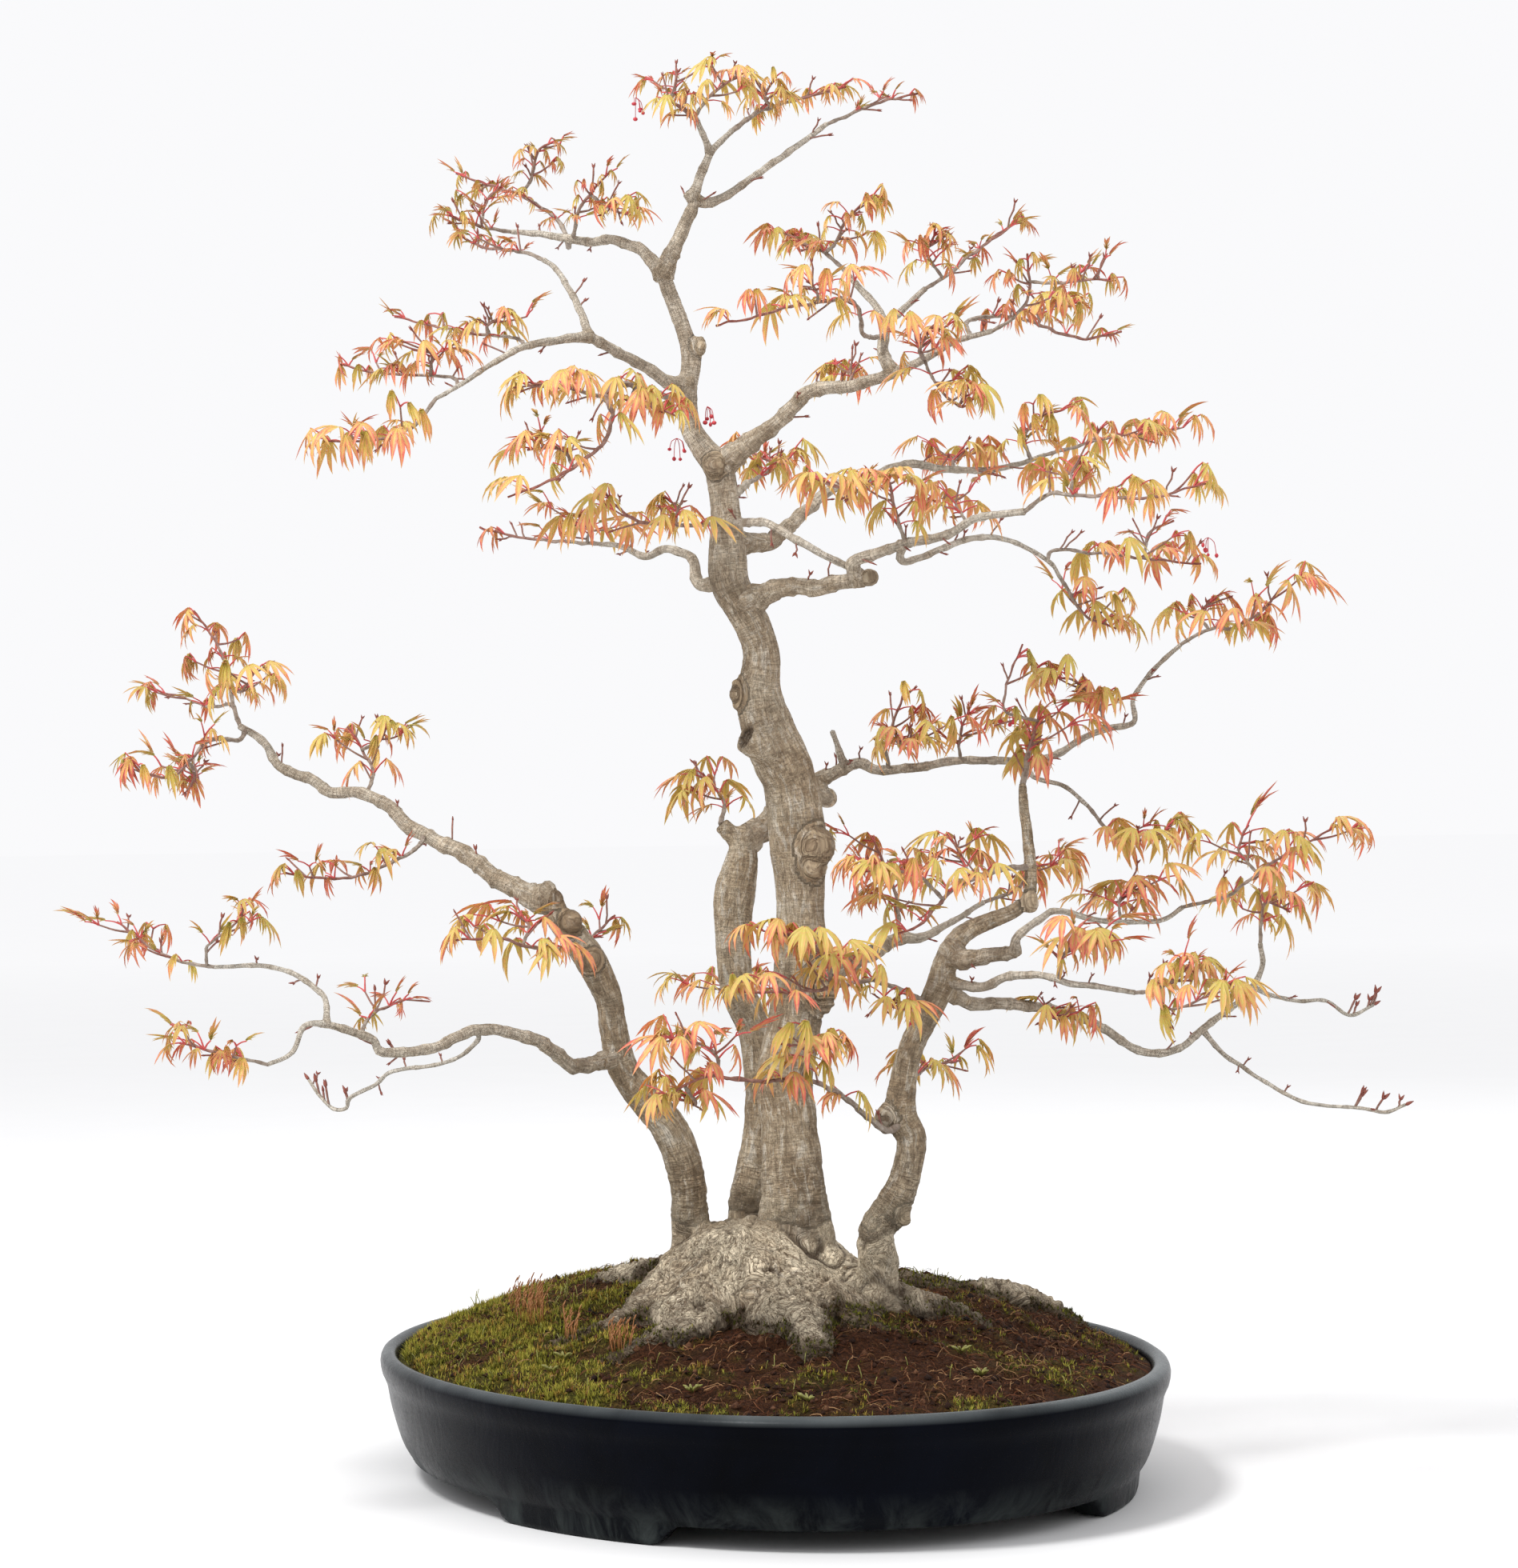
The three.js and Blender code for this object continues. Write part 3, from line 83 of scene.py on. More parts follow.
# Growth on the soil: how far out it goes as a share of the oval, how much is tried, and patches as a
# box on the drawing and a count, with the grass's least and greatest height in mm
MOSS_EDGE = 0.985
THREAD_EDGE = 0.95
GROWTH_EDGE = 0.97
MOSS_TUFTS = 40000
BASE_TUFTS = 3600
BASE_MOSS = 0.1
TUFT_BLADES = 5
THREADS = 8000
THREAD_STEPS = 5
CRUMBS = 4000
FRUIT_PATCHES = [(636, 1628, 684, 1656, 60), (705, 1664, 723, 1682, 16), (762, 1680, 792, 1698, 26)]
GRASS_PATCHES = [
    (556, 1618, 604, 1648, 12, 6, 14), (500, 1660, 760, 1740, 40, 3, 8),
    (1225, 1610, 1252, 1626, 8, 6, 14), (1130, 1596, 1200, 1610, 14, 4, 9),
    (640, 1612, 760, 1632, 24, 4, 10), (800, 1700, 1400, 1745, 26, 3, 8)]
WEEDS = [(865, 1741), (1201, 1692), (1226, 1720), (690, 1716), (705, 1700), (1010, 1752)]
WEED_LEAVES = 7
THREAD, CRUMB, FRUIT, GRASS = range(4)

# Elevation drawing: grid of squares, seen in perspective from in front
VIEW_DISTANCE = 2500
VIEW_HEIGHT = 382
SQUARES_PER_RADIAN = 5460
DRAWING_MIDDLE = (948.5, 980)
DRAWING_TURN = math.radians(0.85)
DRAWING_TILT = math.radians(-0.28)
DRAWING_HEIGHT = 1960
DEPTH_SPREAD = 1.4

# Skin over the root base and trunks: its cell, steps and sides of the forms under it, how deep it goes
# below the soil, and heights in mm where its bark changes
SKIN_CELL = 1.55
SKIN_STEP = 3
SKIN_SIDES = 20
BASE_STEP = 4
BASE_SIDES = 96
ROOT_SIDES = 14
COLLAR_LENGTH = 30
BURIED = 7
AT_ONCE = 4000
DIRT_HEIGHT = 15
FOLD_HEIGHT = 134
BASE_TOP = 166
PALE_HEIGHT = 380
FOLD_FADE = 400

# Limbs: steps along them, and how they leave and swell
LIMB_STEP = 2
BRANCH_STEP = 2.1
STEM_STEP = 2.6
LIMB_FLARE = 1.1
NODE_SPACING = 13
FIRST_SIDE = np.array([0.31, -0.8, 0.52])
BUILT_AS_STUBS = ("back_stub",)

# Lumps on the limbs: limb, place on the drawing, how far in front of its middle, half width and
# half height. Growth rings stand round them, in mm and as a share of the lump.
KNOBS = [
    ("main_trunk", 1028, 1235, 4, 8, 15), ("main_trunk", 1020, 1057, 9, 10.5, 12),
    ("main_trunk", 1016, 1082, 9, 8, 9), ("main_trunk", 925, 868, 0, 6, 10),
    ("main_trunk", 876, 432, 2, 3.4, 6), ("main_trunk", 893, 582, 8, 6, 7),
    ("left_trunk", 690, 1124, 0, 7, 6.5), ("left_trunk", 737, 1200, 5, 7, 7),
    ("left_trunk", 714, 1152, 6, 6, 7), ("right_trunk", 1108, 1397, 2, 7, 8),
    ("right_trunk", 1127, 1516, 2, 5, 7), ("right_trunk", 1288, 1128, 0, 5, 6),
    ("right_low", 1086, 722, 0, 5.5, 5), ("back_right", 1034, 997, -2, 6, 6),
    ("right_stub", 1267, 1189, 0, 4.4, 4.4)]
KNOT_STEP = 2.7
KNOT_REACH = 1.25

# Cut stubs: limb, start and end on the drawing, how far in front of its middle, half width
STUBS = [
    ("main_trunk", (966, 940), (931, 921), 17, 8.5), ("back_trunk", (928, 1058), (900, 1029), 2, 4.6),
    ("left_trunk", (692, 1132), (683, 1116), 0, 6), ("crown_fork", (868, 250), (857, 238), 2, 3.4)]

# Bare limbs that end in buds, and hanging flowers: place on the drawing and limb
BARE_LIMBS = ["right_bare", "right_low_bare", "left_low_bare"]
FLOWERS = [
    (795, 122, "crown_left"), (935, 84, "crown_right"), (884, 508, "main_trunk"), (846, 548, "main_trunk"),
    (1510, 672, "right_under"), (1262, 884, "right_trunk"), (1150, 1258, "right_trunk")]
FLOWERS_EACH = 5
BUDS_EACH = 5
BUD_SEEDS = (7000, 100)
LIMB_SEEDS = (8000, 50)

# Leaves: lengths and spread of the lobes, how they bend from the hub to their tips, and the least
# value and the range of stalk, rise, size and pitch
LEAF_LENGTH = 27
LEAF_THICKNESS = 0.3
LEAF_ROLL = 0.7
LEAF_SHARP = math.radians(50)
LEAF_SIZE_HEIGHTS = (200, 620)
LEAF_SIZE_SHARES = (0.68, 0.94)
LOBE_COUNT = 7
OPEN_LEAF = {
    "lengths": np.array([0.32, 0.6, 0.88, 1, 0.88, 0.6, 0.32]), "spread": (0.36, 0.26), "width": 1,
    "notch": 0.25, "fold": 0.4, "bend": ((-0.1, 0.7), (0.7, 1.0)),
    "stalk": (7, 9), "rise": (0.1, 0.9), "size": (0.74, 0.36), "pitch": (-0.7, 0.95)}
HANGING_LEAF = {
    "lengths": np.array([0.3, 0.52, 0.84, 1, 0.84, 0.52, 0.3]), "spread": (0.2, 0.22), "width": 0.85,
    "notch": 0.2, "fold": 0.7, "bend": ((0.2, 0.5), (1.0, 0.9)),
    "stalk": (7, 8), "rise": (0, 0.9), "size": (0.66, 0.34), "pitch": (-0.9, 0.9)}
YOUNG_LEAF = {
    "lengths": np.array([0.26, 0.45, 0.82, 1, 0.82, 0.45, 0.26]), "spread": (0.07, 0.13), "width": 0.7,
    "notch": 0.2, "fold": 0.9, "bend": ((-0.2, 0.3), (0.1, 0.7)),
    "stalk": (6, 8), "rise": (0.2, 0.9), "size": (0.6, 0.34), "pitch": (0.1, 1.0)}
TWIG, STALK, OPEN, YOUNG = range(4)

# Large and small leaves: shares of a lobe's length, and half widths there as shares of the length
LOBES = [
    (np.array([0.3, 0.42, 0.62, 0.83]), np.array([0.052, 0.076, 0.07, 0.032])),
    (np.array([0.3, 0.52, 0.8]), np.array([0.05, 0.07, 0.036]))]
SMALL_LEAF = 16

# Shares of the draws below which a pair hangs, and below which it is of the other kind
YOUNG_SHARES = (0.35, 0.45)
OPEN_SHARES = (0.28, 0.38)
YOUNG_SCALE = 0.82

# Leaf pairs along a stem, how far they stand open, and second pairs, side shoots and bare twiglets
FIRST_PAIR = 0.26
PAIR_STRETCH = 0.74
PAIR_SHARE = 0.56
PAIR_ANGLES = (1.4, 0.8)
TIP_ANGLE = 0.5
ANGLE_RANGE = 0.5
FRESH_SHARE = 0.58
FRESH_SIZE = 0.66
SHOOT_LENGTHS = (10, 16)
STEM_TIP_WIDTH = 2.6
BUD_LENGTH = 3.4
TWIGLETS = 3
TWIGLET_SPACING = 32
TWIGGY_WIDTH = 26
SPRAY_SEEDS = 1000
STEM_SEEDS = 200

# Twiglets on stems and on limbs: rise of the axis that they turn aside on, shares of the direction
# onward and upward, and radius
STEM_TWIGLET = (0.4, 0.8, 0.55, 0.62)
LIMB_TWIGLET = (0.5, 0.6, 0.4, 0.6)

# Light in metres and watts: name, place, size and power. The floor's painted shade round the pot fades with
# distance in mm.
SKY_COLOUR = (0.985, 0.985, 1, 1)
SKY_STRENGTH = 0.97
LAMPS = [
    ("key", (-1.2, -1.3, 2.7), 0.7, 63), ("fill", (2.2, -1.6, 1.3), 1.6, 3),
    ("rear", (0.8, 2.2, 2.0), 1.6, 9)]
LAMP_AIM = Vector((0, 0, 0.4))
FLOOR_RADIUS = 40
FLOOR_SIDES = 64
FLOOR_FADE = 9000

# Read off the photo. Trunks and branches: points of the drawing with depth and width, and for a
# branch the limb that it leaves. Sprays: stems with the limb or the number of the stem that they leave,
# points with depth, width, leaves and whether they are young. Root base: height, middle, half width,
# half depth and ridges. Roots: place, lift over the soil and radius.
TRUNKS = {
    "main_trunk": [[995, 1620, -44, 112], [995, 1560, -42, 100], [993, 1505, -42, 84], [986, 1406, -40, 71],
        [981, 1349, -38, 71], [996, 1253, -36, 67], [1000, 1176, -34, 64], [1000, 1119, -34, 61],
        [998, 1056, -35, 73], [988, 983, -36, 68], [976, 950, -38, 72], [961, 915, -40, 68],
        [949, 870, -42, 58], [952, 820, -44, 46], [943, 788, -45, 46], [927, 757, -46, 46],
        [911, 725, -46, 50], [909, 686, -45, 47], [907, 643, -44, 38], [899, 588, -42, 38],
        [880, 562, -40, 32], [862, 530, -37, 27], [860, 486, -36, 24], [864, 450, -35, 26],
        [857, 420, -35, 21], [844, 385, -36, 20], [828, 343, -38, 19]],
    "back_trunk": [[932, 1640, 8, 64], [930, 1560, 12, 50], [932, 1505, 16, 44], [951, 1400, 24, 42],
        [945, 1300, 30, 42], [921, 1232, 34, 43], [916, 1165, 37, 46], [918, 1120, 38, 52],
        [926, 1080, 40, 43], [929, 1062, 41, 37], [929, 1050, 42, 28]],
    "right_trunk": [[1100, 1640, -66, 64], [1098, 1578, -72, 46], [1095, 1540, -74, 46],
        [1113, 1510, -75, 44], [1130, 1475, -76, 39], [1139, 1425, -76, 38], [1125, 1393, -76, 41],
        [1129, 1349, -76, 34], [1139, 1308, -75, 32], [1155, 1275, -75, 33], [1175, 1232, -74, 36],
        [1182, 1200, -72, 30], [1205, 1166, -70, 25], [1264, 1140, -66, 19], [1285, 1120, -65, 17],
        [1288, 1092, -63, 16], [1284, 1045, -60, 15], [1279, 1005, -56, 13], [1278, 980, -52, 11]],
    "left_trunk": [[872, 1600, -26, 64], [862, 1521, -28, 46], [860, 1483, -30, 46], [851, 1444, -32, 46],
        [834, 1406, -36, 46], [800, 1366, -40, 42], [778, 1335, -44, 38], [766, 1284, -50, 36],
        [761, 1250, -52, 34], [750, 1222, -55, 38], [738, 1200, -58, 40], [721, 1176, -61, 38],
        [700, 1150, -64, 34], [686, 1124, -66, 27]],
}

BRANCHES = [
    ["crown_fork", "main_trunk", [[851, 292, -2, 16], [864, 262, -4, 15], [871, 231, -2, 12],
        [887, 190, 0, 10]]],
    ["crown_left", "crown_fork", [[871, 150, -12, 7]]],
    ["crown_right", "crown_fork", [[914, 164, 12, 7]]],
    ["apex_branch", "crown_fork", [[888, 254, 6, 11], [919, 237, 14, 10], [942, 220, 20, 9],
        [984, 191, 30, 8], [1034, 155, 38, 6]]],
    ["top_left", "main_trunk", [[803, 314, 8, 14], [784, 306, 14, 13], [761, 300, 20, 12], [736, 303, 26, 11],
        [704, 297, 34, 10], [675, 293, 40, 8], [640, 290, 48, 6]]],
    ["upper_left", "main_trunk", [[835, 477, -6, 15], [810, 460, -12, 14], [774, 442, -20, 13],
        [736, 420, -30, 13]]],
    ["upper_left_rise", "upper_left", [[723, 384, 14, 9], [698, 340, 30, 7], [680, 325, 38, 6]]],
    ["upper_left_arm", "upper_left", [[698, 425, -8, 10], [655, 434, -18, 9], [613, 456, -28, 7],
        [582, 477, -36, 6], [545, 498, -44, 5]]],
    ["low_left", "main_trunk", [[875, 730, 8, 15], [865, 699, 16, 12], [833, 686, 24, 10], [807, 696, 30, 9],
        [776, 683, 38, 7], [750, 680, 46, 5.5]]],
    ["right_high", "main_trunk", [[939, 553, -8, 23], [964, 534, -12, 20], [1007, 493, -20, 18],
        [1034, 486, -24, 17], [1072, 480, -30, 15], [1106, 470, -34, 14], [1156, 449, -40, 10],
        [1194, 426, -46, 8], [1240, 414, -52, 6]]],
    ["right_high_rise", "right_high", [[1104, 440, 8, 14], [1106, 407, 14, 13]]],
    ["rise_left", "right_high_rise", [[1095, 384, 8, 9], [1072, 358, 16, 8], [1053, 335, 24, 6]]],
    ["rise_right", "right_high_rise", [[1118, 396, 4, 9], [1156, 361, 12, 7]]],
    ["back_high", "main_trunk", [[914, 622, 30, 12], [934, 604, 56, 9]]],
    ["back_low", "back_trunk", [[926, 1224, 22, 14], [922, 1230, 44, 9]]],
    ["right_mid", "main_trunk", [[958, 678, 14, 21], [985, 659, 24, 18], [1002, 643, 32, 16],
        [1040, 610, 46, 13], [1078, 599, 58, 12], [1137, 580, 72, 11], [1175, 586, 82, 9], [1219, 588, 92, 8],
        [1262, 583, 100, 7], [1305, 569, 110, 5.5]]],
    ["right_low", "main_trunk", [[948, 746, -6, 25], [975, 734, -14, 23], [1013, 733, -22, 21],
        [1050, 729, -28, 20], [1088, 721, -32, 18]]],
    ["right_low_rise", "right_low", [[1066, 703, -8, 15], [1088, 694, -12, 14], [1132, 680, -22, 12],
        [1186, 667, -34, 11], [1219, 648, -42, 10], [1251, 643, -50, 9], [1280, 640, -56, 8]]],
    ["right_low_link", "main_trunk", [[940, 653, -30, 11], [961, 655, -36, 10], [996, 675, -42, 10],
        [1029, 694, -42, 9], [1060, 708, -36, 9]]],
    ["right_under", "right_low_rise", [[1132, 702, 14, 9], [1202, 676, 30, 8], [1240, 672, 40, 7],
        [1273, 680, 48, 6], [1311, 702, 56, 5.5], [1325, 722, 60, 5]]],
    ["back_stub", "back_trunk", [[912, 1036, 3, 30], [900, 1030, 5, 27]]],
    ["back_right", "back_trunk", [[952, 1033, 6, 24], [985, 1004, 8, 22], [1019, 978, 4, 20],
        [1044, 966, 0, 17], [1073, 954, -5, 14], [1097, 963, -8, 12], [1145, 959, -13, 11],
        [1194, 951, -17, 10], [1242, 951, -20, 10], [1281, 951, -22, 9], [1315, 945, -24, 9],
        [1359, 920, -28, 8], [1388, 910, -30, 8], [1417, 903, -32, 7], [1417, 871, -34, 6],
        [1446, 833, -38, 6], [1475, 806, -41, 5.5]]],
    ["back_right_knob", "back_right", [[1028, 992, -3, 15], [1036, 1000, -5, 13]]],
    ["back_right_stub", "back_right", [[1050, 944, -6, 9], [1046, 930, -8, 7], [1040, 914, -9, 6]]],
    ["back_right_low", "back_right", [[1291, 971, -10, 6], [1330, 983, -16, 5.5], [1359, 1007, -22, 5]]],
    ["right_stub", "right_trunk", [[1204, 1199, -7, 20], [1239, 1194, -14, 18], [1268, 1189, -20, 16]]],
    ["right_arm", "right_stub", [[1272, 1170, -4, 10], [1298, 1150, 2, 9], [1323, 1139, 8, 8],
        [1378, 1151, 20, 7], [1448, 1151, 34, 6], [1478, 1134, 40, 5.5]]],
    ["right_long", "right_trunk", [[1214, 1254, 10, 16], [1249, 1254, 18, 15], [1298, 1259, 28, 13],
        [1348, 1271, 36, 12], [1383, 1288, 42, 11], [1418, 1311, 48, 10], [1448, 1316, 52, 10],
        [1478, 1308, 56, 9], [1507, 1283, 60, 9], [1537, 1261, 64, 8], [1562, 1239, 68, 8],
        [1577, 1209, 72, 6.5], [1575, 1179, 74, 6]]],
    ["right_bare", "right_long", [[1587, 1244, 6, 5.5], [1622, 1251, 12, 5], [1657, 1251, 18, 4.5],
        [1687, 1269, 24, 4.5], [1716, 1256, 28, 4]]],
    ["right_low_bare", "right_long", [[1527, 1316, -8, 6], [1552, 1333, -14, 5.5], [1582, 1353, -20, 5],
        [1622, 1375, -28, 5], [1657, 1382, -34, 4.5], [1701, 1385, -40, 4.5], [1731, 1390, -46, 4.5],
        [1756, 1381, -50, 4]]],
    ["right_parallel", "right_trunk", [[1224, 1234, -16, 12], [1259, 1221, -24, 11], [1298, 1219, -32, 9],
        [1338, 1229, -40, 8], [1378, 1234, -46, 7], [1418, 1241, -53, 6]]],
    ["main_right", "main_trunk", [[1041, 1214, 8, 22], [1079, 1196, 18, 20], [1121, 1174, 30, 17],
        [1150, 1172, 38, 12], [1190, 1152, 48, 8], [1229, 1128, 58, 6]]],
    ["left_arm", "left_trunk", [[660, 1118, 6, 24], [620, 1096, 14, 22], [590, 1075, 20, 21],
        [562, 1058, 26, 20], [538, 1048, 31, 18], [510, 1031, 37, 18], [490, 1010, 41, 16],
        [466, 996, 45, 15], [442, 989, 49, 14], [414, 991, 53, 14], [390, 975, 57, 13], [349, 958, 62, 12],
        [330, 928, 65, 10], [300, 907, 70, 8]]],
    ["left_low", "left_trunk", [[720, 1333, -20, 18], [690, 1312, -30, 17], [660, 1297, -38, 16],
        [620, 1288, -46, 14], [590, 1288, -52, 14], [569, 1298, -56, 13], [541, 1310, -60, 13],
        [480, 1316, -70, 12], [466, 1301, -72, 10], [445, 1291, -75, 10], [411, 1281, -80, 9],
        [380, 1282, -84, 7], [366, 1315, -88, 6], [335, 1331, -92, 5]]],
    ["left_low_arch", "left_low", [[407, 1250, 10, 7], [397, 1238, 14, 7], [376, 1222, 20, 7],
        [352, 1212, 26, 6], [321, 1207, 32, 6], [269, 1209, 42, 5]]],
    ["left_low_bare", "left_low", [[596, 1301, 18, 6], [572, 1322, 28, 5], [538, 1332, 36, 5],
        [490, 1339, 46, 5], [469, 1356, 50, 5], [438, 1372, 56, 5], [433, 1385, 58, 5], [417, 1386, 60, 4.5],
        [400, 1370, 64, 4.5], [386, 1350, 68, 4]]],
]

